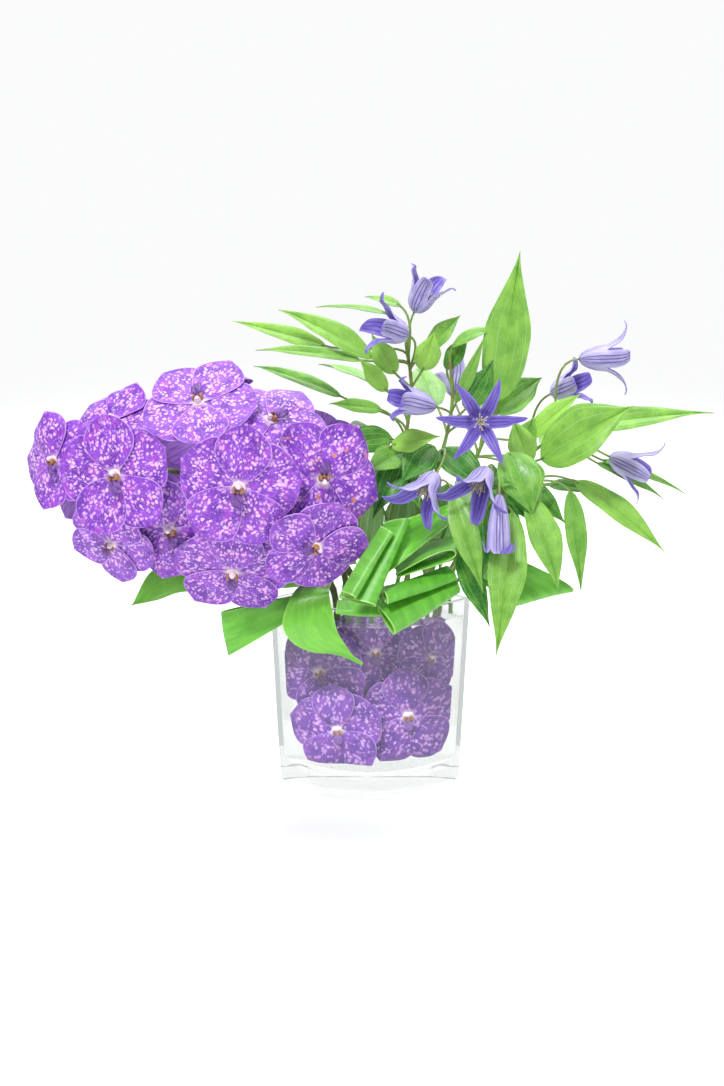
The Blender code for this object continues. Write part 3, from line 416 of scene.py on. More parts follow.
class Piece:
    """One object in the making. "flat" maps a sheet in centimetres, "place" holds how far across
    and along it a point lies, or its distance from the rim, and "tone" is one pair a sheet."""

    def __init__(self, name):
        self.name = name
        self.points = []
        self.maps = {"flat": [], "place": [], "tone": []}
        self.faces = []
        self.slots = []
        self.count = 0

    def add(self, points, flat, place, tone, groups):
        """Points with their maps, and groups of quads between them with their material."""
        points = np.asarray(points, float).reshape(-1, 3)
        tones = np.tile(np.asarray(tone, float), (len(points), 1))
        for pairs, values in zip(self.maps.values(), (flat, place, tones)):
            pairs.append(np.asarray(values, float).reshape(-1, 2))
        for quads, slot in groups:
            self.faces.append(np.asarray(quads) + self.count)
            self.slots.append(np.full(len(quads), slot))
        self.points.append(points)
        self.count += len(points)

    def sheet(self, grid, flat, place, thickness, slots, tone=(0.0, 0.0), ribs=0.0):
        """A thin closed sheet over a grid of points, with ribs raised on its back. slots: front,
        back and rim material."""
        rows, columns = grid.shape[:2]
        normal = normalised(np.cross(np.gradient(grid, axis=1), np.gradient(grid, axis=0)))
        ribs = np.broadcast_to(ribs, (rows, columns))[..., None]
        front = grid + normal * (thickness / 2)
        back = grid - normal * (thickness / 2 + ribs)
        index = np.arange(rows * columns).reshape(rows, columns)
        a, b, c, d = index[:-1, :-1], index[:-1, 1:], index[1:, 1:], index[1:, :-1]
        over = np.stack([a, b, c, d], -1).reshape(-1, 4)
        under = np.stack([d, c, b, a], -1).reshape(-1, 4) + index.size
        loop = np.concatenate([index[0, :], index[1:, -1], index[-1, -2::-1], index[-2:0:-1, 0]])
        after = np.roll(loop, -1)
        rim = np.stack([after, loop, loop + index.size, after + index.size], -1)
        self.add([front, back], [flat, flat], [place, place], tone, zip((over, under, rim), slots))

    def tube(self, path, radii, sides, slot, squash=1.0):
        """A closed tube along a path, its ends drawn in."""
        path = np.asarray(path, float)
        radii = np.broadcast_to(np.asarray(radii, float), (len(path),))
        tangents = normalised(np.gradient(path, axis=0))
        side = np.cross(tangents[0], [0.3, 1.0, 0.2])
        turns = np.arange(sides) * tau / sides
        rings = []
        for centre, tangent, radius in zip(path, tangents, radii):
            side = unit(side - tangent * (side @ tangent))
            other = np.cross(tangent, side)
            rings.append(centre + radius * (np.cos(turns)[:, None] * side
                                            + squash * np.sin(turns)[:, None] * other))
        first = path[0] + (rings[0] - path[0]) * 0.1
        last = path[-1] + (rings[-1] - path[-1]) * 0.1
        run = run_length(path)
        flat = paired(turns * radii.mean() * 100, np.array([0, *run, run[-1]])[:, None] * 100)
        index = np.arange((len(path) + 2) * sides).reshape(-1, sides)
        self.add([first, *rings, last], flat, flat, (0.0, 0.0),
                 [(wrapped(index), slot), (end_caps(index), slot)])

    def blob(self, centre, axes, slot, sides, rows=9):
        """A rounded lump with three half axes."""
        v = np.linspace(0.03, pi - 0.03, rows)[:, None]
        u = np.linspace(0, tau, sides, endpoint=False)
        local = np.stack(np.broadcast_arrays(np.sin(v) * np.cos(u), np.sin(v) * np.sin(u),
                                             np.cos(v)), -1)
        index = np.arange(rows * sides).reshape(rows, sides)
        skin = np.roll(wrapped(index)[:, ::-1], 1, axis=1)
        flat = paired(u, v)
        self.add(centre + local @ axes, flat, flat, (0.0, 0.0),
                 [(skin, slot), (end_caps(index[::-1]), slot)])

    def build(self, materials, node):
        """The finished object, with its maps, in the place of its node."""
        faces = np.concatenate(self.faces)
        thing = mesh_object(self.name, np.concatenate(self.points).tolist(), faces.tolist(),
                            materials, PIECE_EDGE_ANGLE)
        for name, pairs in self.maps.items():
            layer = thing.data.uv_layers.new(name=name)
            layer.data.foreach_set("uv", np.concatenate(pairs)[faces.ravel()].ravel())
        slots = np.concatenate(self.slots).astype(np.int32)
        thing.data.polygons.foreach_set("material_index", slots)
        finish_piece(thing, node)


# Materials

class Net:
    """The node tree of one material, or of the world, in the making. ground is the colour that
    its layers have given so far."""

    def __init__(self, name, ground=None, library=bpy.data.materials):
        self.owner = library.new(name)
        self.owner.use_nodes = True
        self.nodes = self.owner.node_tree.nodes
        self.ground = ground

    def node(self, kind, values, **settings):
        """A new node. values: its inputs, by name or number."""
        made = self.nodes.new(kind)
        for key, value in settings.items():
            setattr(made, key, value)
        for name, value in values.items():
            self.put(made.inputs[name], value)
        return made

    def put(self, socket, value):
        if isinstance(value, bpy.types.NodeSocket):
            self.owner.node_tree.links.new(value, socket)
        elif socket.type == "RGBA":
            socket.default_value = (*value, 1.0)
        else:
            socket.default_value = value

    def uv(self, name, scale=(1.0, 1.0, 1.0), offset=(0.0, 0.0, 0.0)):
        source = self.node("ShaderNodeUVMap", {}, uv_map=name).outputs["UV"]
        return self.node("ShaderNodeMapping", {"Vector": source, "Scale": scale,
                                               "Location": offset}).outputs["Vector"]

    def object_place(self):
        return self.node("ShaderNodeTexCoord", {}).outputs["Object"]

    def rays(self):
        return self.node("ShaderNodeLightPath", {}).outputs

    def parts(self, vector):
        return self.node("ShaderNodeSeparateXYZ", {"Vector": vector}).outputs

    def noise(self, vector, scale, detail=2.0, rough=0.5):
        return self.node("ShaderNodeTexNoise", {"Vector": vector, "Scale": scale, "Detail": detail,
                                                "Roughness": rough}).outputs["Fac"]

    def streaks(self, across, along, detail=2.0, rough=0.5):
        """Noise drawn out along a sheet."""
        return self.noise(self.uv("flat", (across, along, 1.0)), 1.0, detail, rough)

    def cells(self, vector, scale, feature="F1", random=1.0):
        return self.node("ShaderNodeTexVoronoi", {"Vector": vector, "Scale": scale,
                                                  "Randomness": random}, feature=feature).outputs

    def math(self, operation, *values):
        made = self.node("ShaderNodeMath", dict(enumerate(values)), operation=operation)
        return made.outputs[0]

    def times(self, a, b):
        return self.math("MULTIPLY", a, b)

    def span(self, value, low, high, to_low=0.0, to_high=1.0):
        """The value eased from low to high."""
        made = self.node("ShaderNodeMapRange", {"Value": value, "From Min": low, "From Max": high,
                                                "To Min": to_low, "To Max": to_high},
                         interpolation_type="SMOOTHSTEP")
        return made.outputs["Result"]

    def ribs(self, across, lines, low, high):
        """Lengthwise lines at even distances across a sheet."""
        wave = self.math("FRACT", self.math("MULTIPLY_ADD", across, lines, 0.5))
        return self.span(self.math("ABSOLUTE", self.math("SUBTRACT", wave, 0.5)), low, high)

    def mix(self, share, a, b):
        made = self.node("ShaderNodeMix", {0: share, 6: a, 7: b}, data_type="RGBA")
        return made.outputs[2]

    def bend(self, vector, amount, scale):
        """The vector pushed about by noise."""
        push = self.node("ShaderNodeTexNoise", {"Vector": vector, "Scale": scale, "Detail": 1.0})
        moved = self.node("ShaderNodeVectorMath", {0: push.outputs["Color"],
                                                   1: (amount, amount, 0.0), 2: vector},
                          operation="MULTIPLY_ADD")
        return moved.outputs[0]

    def lay(self, colour, share, most=1.0):
        """Lay a colour over the ground by a share."""
        self.ground = self.mix(self.times(share, most), self.ground, colour)

    def paint(self, colour, value, low, high, most=1.0):
        """Lay a colour over the ground where a value passes from low to high."""
        self.ground = self.mix(self.span(value, low, high, 0.0, most), self.ground, colour)

    def bump(self, height, distance, strength):
        made = self.node("ShaderNodeBump", {"Height": height, "Distance": distance,
                                            "Strength": strength})
        self.put(self.nodes["Principled BSDF"].inputs["Normal"], made.outputs["Normal"])

    def finish(self, roughness, **constants):
        inputs = self.nodes["Principled BSDF"].inputs
        self.put(inputs["Base Color"], self.ground)
        self.put(inputs["Roughness"], roughness)
        for name, value in constants.items():
            self.put(inputs[name.replace("_", " ")], value)
        return self.owner

    def blend(self, share, kind, values):
        """Mix another shader over what the material shows so far."""
        surface = self.nodes["Material Output"].inputs["Surface"]
        made = self.node("ShaderNodeMixShader", {0: share, 1: surface.links[0].from_socket,
                                                 2: self.node(kind, values).outputs[0]})
        self.put(surface, made.outputs[0])


def shade(red, green, blue):
    """A linear colour from its 0 to 255 screen values."""
    def linear(value):
        value /= 255
        return value / 12.92 if value <= 0.04045 else ((value + 0.055) / 1.055) ** 2.4
    return (linear(red), linear(green), linear(blue))


def petal_material(name, body, deep, warm, spot, rim, spots=1.0, density=4.6, fine_marks=0.3):
    """A vanda petal: a purple net between pale spots, a pale rim and a light heart."""
    net = Net(name, body)
    flat = net.uv("flat")
    bent = net.bend(net.uv("flat", (1.0, 0.75, 1.0)), 0.30, 2.6)
    rim_way, along, _ = net.parts(net.uv("place"))
    scar = net.parts(net.uv("tone"))[0]
    cloud = net.noise(flat, 0.75)
    patch = net.noise(net.uv("flat", offset=(7.3, 2.1, 0.0)), 1.1)
    rays = net.streaks(9.0, 0.9)
    cell = net.cells(bent, density, random=0.85)
    large, bright, _ = net.parts(cell["Color"])
    size = net.math("MULTIPLY_ADD", large, 0.14, 0.33)
    size = net.math("ADD", size, net.span(patch, 0.35, 0.65, -0.07, 0.08))
    dots = net.span(net.math("SUBTRACT", cell["Distance"], size), 0.12, -0.12)
    pale = net.span(bright, 0.0, 1.0, 0.65, 1.0)
    fine = net.span(net.cells(bent, 10.0)["Distance"], 0.40, 0.20, 0.0, fine_marks)
    marks = net.math("MAXIMUM", net.times(dots, pale), fine)
    fade = net.times(net.span(rim_way, 0.02, 0.6, 0.25, 1.0), net.span(along, 1.0, 0.72, 0.65, 1.0))
    marks = net.times(net.times(marks, fade), spots)
    net.paint(deep, cloud, 0.35, 0.65)
    net.paint(warm, patch, 0.45, 0.7, 0.8)
    net.paint(deep, rays, 0.42, 0.72, 0.45)
    net.lay(spot, marks)
    net.paint(shade(236, 208, 240), along, 0.17, 0.03)
    net.lay(rim, net.span(rim_way, 0.075, 0.03), 0.75)
    net.lay(shade(222, 134, 104), net.times(net.span(net.noise(flat, 1.2, 3.0), 0.62, 0.70), scar))
    net.bump(net.math("ADD", marks, net.times(rays, 0.5)), 0.0004, 0.6)
    return net.finish(net.span(cloud, 0.3, 0.7, 0.40, 0.52), Sheen_Weight=0.12,
                      Sheen_Roughness=0.4)


def petal_back_material(name, body, vein):
    """The paler back of a vanda petal, with lengthwise veins."""
    net = Net(name, body)
    rays = net.streaks(7.0, 0.7, 3.0)
    cells = net.cells(net.uv("flat"), 4.0, "DISTANCE_TO_EDGE")["Distance"]
    net.paint(vein, rays, 0.4, 0.7)
    net.lay(vein, net.span(cells, 0.12, 0.0), 0.25)
    net.bump(rays, 0.0003, 0.5)
    return net.finish(net.span(rays, 0.3, 0.7, 0.45, 0.6), Sheen_Weight=0.15)


def plain_material(name, one, other, scale, roughness):
    """Mottled plant tissue of two colours."""
    net = Net(name, one)
    cloud = net.noise(net.uv("flat"), scale, 4.0, 0.6)
    net.paint(other, cloud, 0.35, 0.65)
    net.bump(cloud, 0.0003, 0.6)
    return net.finish(net.span(cloud, 0.3, 0.7, roughness, roughness + 0.12))


def leaf_material(name, deep, young, vein, roughness):
    """A clematis leaf with a few long veins, shaded from deep to young green."""
    net = Net(name, deep)
    tone = net.parts(net.uv("tone"))[0]
    ribs = net.ribs(net.parts(net.uv("place"))[0], 2.5, 0.09, 0.02)
    bent = net.bend(net.uv("flat", (1.0, 0.8, 1.0)), 0.15, 2.0)
    web = net.span(net.cells(bent, 3.2, "DISTANCE_TO_EDGE")["Distance"], 0.07, 0.01)
    cloud = net.noise(net.uv("flat"), 0.9, 3.0)
    net.lay(young, net.math("ADD", tone, net.span(cloud, 0.3, 0.7, -0.15, 0.15)))
    net.lay(vein, web, 0.16)
    net.lay(vein, ribs, 0.55)
    net.bump(net.math("MULTIPLY_ADD", ribs, -1.0, net.times(web, -0.3)), 0.0004, 0.7)
    return net.finish(net.span(cloud, 0.3, 0.7, roughness, roughness + 0.12))


def blade_material(name, deep, light, rim, roughness):
    """An aspidistra leaf: glossy, finely ribbed along its length, with a pale margin."""
    net = Net(name)
    across = net.parts(net.uv("place"))[0]
    fine = net.streaks(16.0, 0.5, 2.0, 0.6)
    broad = net.streaks(1.6, 0.35)
    mottle = net.noise(net.uv("flat"), 2.5, 4.0, 0.6)
    net.ground = net.mix(net.span(broad, 0.3, 0.7, 0.3, 1.0), deep, light)
    net.paint(light, fine, 0.40, 0.75, 0.22)
    net.paint(deep, mottle, 0.4, 0.7, 0.25)
    net.lay(rim, net.parts(net.uv("tone"))[0], 0.55)
    net.lay(rim, net.span(net.math("ABSOLUTE", across), 0.955, 0.985), 0.8)
    net.bump(net.math("MULTIPLY_ADD", fine, 0.8, mottle), 0.0003, 0.5)
    return net.finish(net.span(broad, 0.3, 0.7, roughness, roughness + 0.1))


def tepal_material(name, body, rib, pale, lines):
    """A clematis tepal with dark ribs and a paler margin."""
    net = Net(name, body)
    across, along, _ = net.parts(net.uv("place"))
    off_middle = net.math("ABSOLUTE", across)
    ribs = net.times(net.ribs(across, lines, 0.20, 0.05), net.span(off_middle, 0.62, 0.5))
    ribs = net.times(ribs, net.span(along, 1.0, 0.7, 0.25, 1.0))
    streak = net.streaks(8.0, 0.8, 3.0)
    net.paint(pale, streak, 0.35, 0.7, 0.6)
    net.paint(pale, off_middle, 0.55, 0.95, 0.6)
    net.lay(rib, ribs, 0.85)
    net.bump(net.math("ADD", ribs, net.times(streak, 0.4)), 0.0003, 0.7)
    return net.finish(net.span(net.noise(net.uv("flat"), 2.0), 0.3, 0.7, 0.42, 0.58),
                      Sheen_Weight=0.2)


def stem_material(name, green, brown, scale):
    """A green stem with brownish patches and lengthwise grooves."""
    net = Net(name, green)
    grooves = net.streaks(14.0, 0.8)
    cloud = net.noise(net.uv("flat"), scale, 3.0)
    net.paint(brown, cloud, 0.42, 0.7)
    net.paint(shade(150, 180, 96), grooves, 0.5, 0.75, 0.4)
    net.bump(grooves, 0.0003, 0.7)
    return net.finish(net.span(cloud, 0.3, 0.7, 0.42, 0.58))


def clear_material(name, colour, ior):
    """Clear glass or water that lets lamp light through to what it holds, and that glows a pale grey
    where a ray is trapped in it: painted light in place of the black that such a ray would end in."""
    net = Net(name, colour)
    smear = net.noise(net.object_place(), 40.0, 3.0)
    net.paint(tuple(0.99 * part for part in colour), smear, 0.35, 0.7)
    net.finish(0.0, Transmission_Weight=1.0, IOR=ior)
    rays = net.rays()
    # Painted light: a ray trapped deeper than TRAPPED_DEPTH ends in a pale grey glow.
    net.blend(net.math("GREATER_THAN", rays["Ray Depth"], TRAPPED_DEPTH), "ShaderNodeEmission",
              {"Color": (0.62, 0.65, 0.64), "Strength": 1.0})
    net.blend(rays["Is Shadow Ray"], "ShaderNodeBsdfTransparent", {"Color": colour})
    net.owner.cycles.emission_sampling = "NONE"
    return net.owner


def seen_rays(net):
    """Whether a ray comes through glass or off a mirror, and whether from there or the camera."""
    rays = net.rays()
    bounced = net.math("MAXIMUM", rays["Is Singular Ray"], rays["Is Transmission Ray"])
    return bounced, net.math("MAXIMUM", rays["Is Camera Ray"], bounced)


def floor_material():
    """A pale floor that glows far away, and where it is seen through glass."""
    net = Net("pale_floor")
    place = net.object_place()
    cloud = net.noise(place, 3.0, 3.0)
    net.ground = net.mix(cloud, (0.93, 0.935, 0.94), (0.95, 0.955, 0.96))
    net.bump(net.noise(place, 300.0), 0.0001, 0.2)
    net.finish(net.span(cloud, 0.3, 0.7, 0.55, 0.65))
    bounced, seen = seen_rays(net)
    away = net.node("ShaderNodeVectorMath", {0: place}, operation="LENGTH").outputs["Value"]
    share = net.times(seen, net.span(away, 0.9, 2.2))
    net.blend(net.math("MAXIMUM", share, net.times(bounced, 0.7)), "ShaderNodeEmission",
              {"Color": (0.96, 0.965, 0.965), "Strength": 1.0})
    return net.owner


# Vase and water

def vase_size(z, inset=0.0):
    """Width and depth of the vase at a height, drawn in by an inset all round."""
    share = z / VASE_HEIGHT
    width = BASE_WIDTH + (RIM_WIDTH - BASE_WIDTH) * share - 2 * inset * sqrt(2)
    depth = BASE_DEPTH + (RIM_DEPTH - BASE_DEPTH) * share - 2 * inset
    return width, depth


def outline(z, inset):
    """The vase's pillow-shaped outline at a height."""
    width, depth = vase_size(z, inset)
    x = -np.cos(np.linspace(0, pi, OUTLINE_STEPS + 1))[:-1]
    front = np.stack([x * width / 2, -depth / 2 * (1 - x ** 2), np.full(len(x), z)], -1)
    return np.concatenate([front, front * [-1, -1, 1]])


def ring_object(name, levels, material, node):
    """A closed skin over outlines given as height and inset, from the outside in."""
    rings = np.array([outline(*level) for level in levels])
    index = np.arange(rings.size // 3).reshape(rings.shape[:2])
    faces = [*wrapped(index).tolist(), index[0][::-1].tolist(), index[-1].tolist()]
    thing = mesh_object(name, rings.reshape(-1, 3).tolist(), faces, [material], GLASS_EDGE_ANGLE)
    finish_piece(thing, node)


def round_levels(z, inset, radius, start, end, steps=5):
    """Heights and insets along an arc of a rounded edge."""
    turns = np.linspace(start, end, steps)
    return [(z + radius * sin(t), inset - radius * cos(t)) for t in turns]


def make_vase():
    lip = WALL / 2
    shares = (0.25, 0.5, 0.75)
    levels = round_levels(FOOT_ROUND, FOOT_ROUND, FOOT_ROUND, -pi / 2, 0)
    levels += [(VASE_HEIGHT * share, 0.0) for share in shares]
    levels += round_levels(VASE_HEIGHT - lip, lip, lip, 0, pi, 9)
    levels += [(VASE_HEIGHT * share, WALL) for share in shares[::-1]]
    levels += round_levels(FLOOR_THICKNESS + FLOOR_ROUND, WALL + FLOOR_ROUND, FLOOR_ROUND,
                           0, -pi / 2, 7)
    ring_object("vase_glass", levels, clear_material("vase_glass_clear", (0.97, 0.985, 0.975), 1.5),
                "vase")


def make_water():
    """The water, which reaches just into the glass, with its edge drawn up at the wall."""
    reach = WALL - WATER_IN_GLASS
    levels = round_levels(FLOOR_THICKNESS + FLOOR_ROUND - WATER_IN_GLASS, reach + FLOOR_ROUND,
                          FLOOR_ROUND, -pi / 2, 0, 7)
    levels += [(WATER_LEVEL * share, reach) for share in (0.3, 0.6, 0.9)]
    levels += [(WATER_LEVEL, reach), (WATER_LEVEL - 0.0008, reach + 0.0008),
               (WATER_LEVEL - 0.0011, reach + 0.0024)]
    ring_object("vase_water", levels, clear_material("vase_water_clear", (0.975, 0.985, 0.98), 1.2),
                "water")


# Vanda flowers

def bloom_rings(place, way, roll, radius, *_):
    """The three rings of a flower's plain middle surface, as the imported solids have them."""
    centre = vec(place)
    normal = facing(*way)
    right, up = frame_from(normal, roll)
    radius *= MM
    rings = []
    for share, steps in zip(RING_SHARES, (BLOOM_LOBES, BLOOM_STEPS, BLOOM_STEPS)):
        ring = []
        for k in range(steps):
            angle = pi / 2 + tau * k / steps
            notch = LOBE_NOTCH * (1 - cos(BLOOM_LOBES * (angle - pi / 2))) / 2
            reach = max(share * radius * (1 - notch), LIP_RADIUS)
            back = BLOOM_REFLEX * radius * share ** 2
            ring.append(centre + reach * (right * cos(angle) + up * sin(angle)) - back * normal)
        rings.append(np.array(ring))
    return rings


def soft_push(distance):
    """How far a point at this distance past a plane is pushed back, eased over a width."""
    eased = (distance + PRESS_WIDTH) ** 2 / (4 * PRESS_WIDTH)
    pushed = np.where(distance > PRESS_WIDTH, distance, eased)
    return np.where(distance < -PRESS_WIDTH, 0.0, pushed)


def dividing_plane(points_a, points_b, way_a, way_b):
    """Level and normal of the plane that parts two flowers with the least pressing."""
    across = unit(points_b.mean(axis=0) - points_a.mean(axis=0))
    out = unit(way_a + way_b + across * 0.01)
    best = None
    for tilt in np.radians(PLANE_TILTS):
        normal = unit(across * cos(tilt) + (out - across * (out @ across)) * sin(tilt))
        a = points_a @ normal
        b = points_b @ normal
        for level in np.linspace(min(a.max(), b.min()), max(a.max(), b.min()), PLANE_LEVELS):
            cost = (np.maximum(a - level + APART, 0) ** 2).sum()
            cost += (np.maximum(level + APART - b, 0) ** 2).sum()
            if best is None or cost < best[0]:
                best = (cost, level, normal)
    return best[1:]


def dividing_planes(rows, middles):
    """For every flower, the planes between it and its neighbours, and whether it lies in front."""
    ways = [facing(*row[1]) for row in rows]
    clouds = [np.vstack(rings) for rings in middles]
    planes = [[] for _ in rows]
    for i, j in combinations(range(len(rows)), 2):
        between = clouds[i].mean(axis=0) - clouds[j].mean(axis=0)
        if np.linalg.norm(between) <= NEIGHBOUR_REACH:
            level, normal = dividing_plane(clouds[i], clouds[j], ways[i], ways[j])
            ahead = between @ (ways[i] + ways[j]) > 0
            planes[i].append((level, normal, ahead))
            planes[j].append((-level, -normal, not ahead))
    return planes


def press(points, planes, way, layer, overlap):
    """Points moved to the inner side of every plane, but for an overlap in which the flower
    behind dips under the one in front, and a layer's depth further where a petal lies behind
    another of the same flower."""
    points = points.copy()
    for level, normal, ahead in planes:
        if not ahead:
            share = np.clip((points @ normal - level + 2 * overlap) / (2 * overlap), 0, 1)
            side_on = 1 - abs(normal @ way)
            points -= (share * share * (3 - 2 * share) * side_on * overlap * 0.8)[:, None] * way
    for _ in range(PRESS_ROUNDS):
        for level, normal, _ in planes:
            side_on = 1 - abs(normal @ way)
            before = layer if normal @ way > 0 else len(LOBES) - 1 - layer
            over = points @ normal - level + APART + before * LAYER_STEP * 0.6
            over -= overlap * side_on
            heading = unit(normal + 1.6 * (normal @ way) * way)
            points -= (soft_push(over) / (heading @ normal))[:, None] * heading
    return points


def keep_inside_vase(points, apart):
    """Points moved within the glass, by its depth at their place."""
    width, depth = vase_size(points[:, 2], WALL + apart)
    half = width * SUNK_WIDTH_SHARE / 2
    x = np.clip(points[:, 0], -half, half)
    room = depth / 2 * (1 - (2 * x / width) ** 2)
    y = np.clip(points[:, 1], -room, room)
    z = np.clip(points[:, 2], FLOOR_THICKNESS + FLOOR_ROUND, WATER_LEVEL - 2 * apart)
    return np.stack([x, y, z], -1)


def rim_distance(x, y):
    """Distance in centimetres of each point of a sheet from the sheet's own outline."""
    points = np.stack([x, y], -1)
    rim = np.concatenate([points[:, 0], points[:, -1], points[-1]])
    return np.linalg.norm(points[:, :, None] - rim, axis=-1).min(axis=-1) * 100


def add_lobe(piece, pose, lobe, seed, fit, scar):
    """One petal or sepal of a flower: a claw that widens into a round, gently waved blade."""
    centre, right, up, normal, radius = pose
    angle, length, width, layer = lobe
    dice = np.random.RandomState(seed)
    v = 1 - (1 - np.linspace(0.0, 1.0, LOBE_ROWS)[:, None]) ** 1.5
    t = np.linspace(-1, 1, LOBE_COLUMNS)
    size = 1 + dice.uniform(-0.03, 0.03)
    half = radius * width * size * np.sin(pi * np.clip(v, 0.0, 0.9995) ** 1.35) ** 0.62
    half = np.maximum(half, radius * 0.055 * (1 - v)) + 0.0002
    x = half * (1 + 0.035 * np.sin(2.6 * pi * v + dice.uniform(0, tau))) * t
    y = radius * length * v - 0.04 * radius * t ** 2 * v ** 3
    share = np.hypot(x, y) / radius
    rise = -BLOOM_REFLEX * radius * share ** 2
    rise -= radius * dice.uniform(0.05, 0.11) * t ** 2 * v ** 0.5
    rise += radius * 0.05 * np.sin(pi * v)
    turn = dice.uniform(0, tau, 3)
    rise += radius * 0.026 * np.sin(2.6 * pi * v + turn[0]) * t * np.abs(t) * v
    rise += radius * 0.012 * np.sin(3.1 * t + turn[1]) * v
    rise += radius * dice.uniform(-0.07, 0.05) * v ** 3
    rise += x * np.tan(np.radians(dice.uniform(-9, 9))) * v
    rise -= layer * LAYER_STEP * (0.5 + 0.9 * v)
    heading = radians(angle)
    out = up * cos(heading) - right * sin(heading)
    side = right * cos(heading) + up * sin(heading)
    grid = centre + out * y[..., None] + side * x[..., None] + normal * rise[..., None]
    grid = fit(grid.reshape(-1, 3), layer).reshape(grid.shape)
    piece.sheet(grid, paired(x * 100 + seed * 3.7, y * 100 + seed * 1.3),
                paired(rim_distance(x, y), v), PETAL_THICKNESS, (0, 1, 2), (scar, dice.uniform()))


def add_lip(piece, pose, lift):
    """The small lip and column in the middle of a flower."""
    centre, right, up, normal, radius = pose
    axes = np.array([right, up, normal * lift]) * (radius / LIP_FLOWER * MM)
    for middle, sizes, slot, sides in LIP_LUMPS:
        piece.blob(centre + middle @ axes, axes * np.array(sizes)[:, None], slot, sides)
    v = np.linspace(0, 1, 13)[:, None]
    t = np.linspace(-1, 1, 11)
    half = 1.3 + 3.0 * np.sin(pi * np.clip(v, 0, 0.98) ** 1.25) ** 0.8 - 0.4 * v
    drop = -2.5 - 9.5 * v - 0.9 * v ** 4 * np.abs(t)
    rise = 3.4 + 3.6 * np.sin(pi * 0.62 * v) - 0.9 * t ** 2 + 0.35 * np.cos(3 * pi * t)
    grid = centre + np.stack(np.broadcast_arrays(half * t, drop, rise), -1) @ axes
    piece.sheet(grid, paired(half * t, drop) * 0.1, paired(t, v), 0.0007 * lift, (5, 5, 5))


def pedicel_foot(path, place):
    """Where a flower's pedicel meets its spike, on the side or the flat end facing it."""
    index = nearest_index(path, place)
    if index < len(path) - 1:
        index = max(index - 3, 0)
        way = unit(place - path[index])
        radius = SPIKE_RADIUS * (1 - SPIKE_TAPER * index / len(path))
        return path[index] + (radius + FOOT_CLEARANCE) * way
    way = unit(place - path[-1])
    beyond = way @ unit(path[-1] - path[-2])
    radius = SPIKE_RADIUS * (1 - SPIKE_TAPER) * sqrt(1 - beyond ** 2)
    return path[-1] + (radius + FOOT_CLEARANCE / 3 + PEDICEL_FOOT_RADIUS * beyond) * way


def add_pedicel(piece, centre, up, normal, foot):
    """A flower's stalk with its ovary, and the spur behind its lip."""
    bend = centre - normal * 0.4 * np.linalg.norm(foot - centre)
    shares = np.linspace(0, 1, 12)
    start = centre - normal * 0.001
    path = cubic(start, (centre + 2 * bend) / 3, (foot + 2 * bend) / 3, foot, shares)
    piece.tube(path, 0.0016 + 0.0006 * np.cos(shares * 3) - 0.0009 * shares, 8, 6)
    spur = start - up * 0.003
    path = [spur, spur - normal * 0.005 - up * 0.002, spur - normal * 0.008 - up * 0.005]
    piece.tube(path, [0.0024, 0.0017, 0.0008], 8, 6)


def make_bloom(name, node, row, planes, looks, seed, spike):
    """A whole flower: five lobes, lip, and a pedicel where it grows on a spike."""
    place, way, roll, radius = row[:4]
    normal = facing(*way)
    right, up = frame_from(normal, roll)
    radius *= MM
    sunk = spike is None

    def fit(points, layer):
        """Points pressed into the flower's own room."""
        apart = APART + layer * LAYER_STEP / 2
        points = keep_inside_vase(points, apart) if sunk else points
        points = press(points, planes, normal, layer, SUNK_OVERLAP if sunk else OVERLAP)
        return keep_inside_vase(points, apart) if sunk else points

    piece = Piece(name)
    pose = (vec(place), right, up, normal, radius)
    for k, lobe in enumerate(LOBES):
        add_lobe(piece, pose, lobe, seed * 7 + k, fit, 0.0 if sunk else row[5])
    centre = fit(vec([place]), 2)[0]
    add_lip(piece, (centre, right, up, normal, radius), SUNK_LIP_SHARE if sunk else 1.0)
    if not sunk:
        add_pedicel(piece, centre, up, normal, pedicel_foot(spike, centre - normal * 0.02))
    piece.build(looks, node)


def make_bloom_group(rows, names, looks, seed, spikes=None):
    """Flowers parted by the planes between their plain middle surfaces."""
    middles = [bloom_rings(*row) for row in rows]
    if spikes is None:
        middles = [[keep_inside_vase(ring, APART) for ring in rings] for rings in middles]
    for number, (row, sides) in enumerate(zip(rows, dividing_planes(rows, middles)), 1):
        name, node = [form.format(number) for form in names]
        spike = spikes and spikes[row[4] - 1]
        make_bloom(name, node, row, sides, looks, seed + number, spike)


def make_blooms():
    rim = plain_material("petal_rim", shade(196, 150, 228), shade(214, 172, 236), 2.0, 0.5)
    lip = [plain_material("lip_white", shade(250, 238, 236), shade(240, 214, 226), 3.0, 0.4),
           plain_material("lip_ochre", shade(214, 158, 84), shade(132, 74, 40), 5.0, 0.35),
           plain_material("lip_purple", shade(92, 52, 128), shade(136, 92, 176), 4.0, 0.4),
           plain_material("pedicel", shade(206, 176, 206), shade(180, 176, 140), 1.5, 0.5)]
    front = petal_material("vanda_petal_front", shade(146, 70, 208), shade(104, 38, 170),
                           shade(170, 66, 202), shade(242, 200, 252), shade(218, 172, 244))
    back = petal_back_material("petal_back", shade(180, 134, 214), shade(132, 80, 188))
    spikes = [along_chords(smooth_path(vec(points), 3)) for points in SPIKES]
    make_bloom_group(SPIKE_BLOOMS, ("vanda_bloom_{:02d}", "spike_bloom_{:02d}"),
                     [front, back, rim, *lip], 0, spikes)
    # The flowers under the water get darker copies of the petal colours: painted shade for the light
    # that the glass and water hold back.
    front = petal_material("sunk_petal_front_painted_shade", shade(122, 60, 176), shade(88, 38, 148),
                           shade(136, 60, 168), shade(222, 180, 238), shade(196, 152, 228),
                           0.8, 4.0, 0.1)
    back = petal_back_material("sunk_petal_back_painted_shade", shade(166, 122, 204), shade(128, 80, 176))
    make_bloom_group(SUNK_BLOOMS, ("water_bloom_{}", "sunk_bloom_{}"),
                     [front, back, rim, *lip], 40)


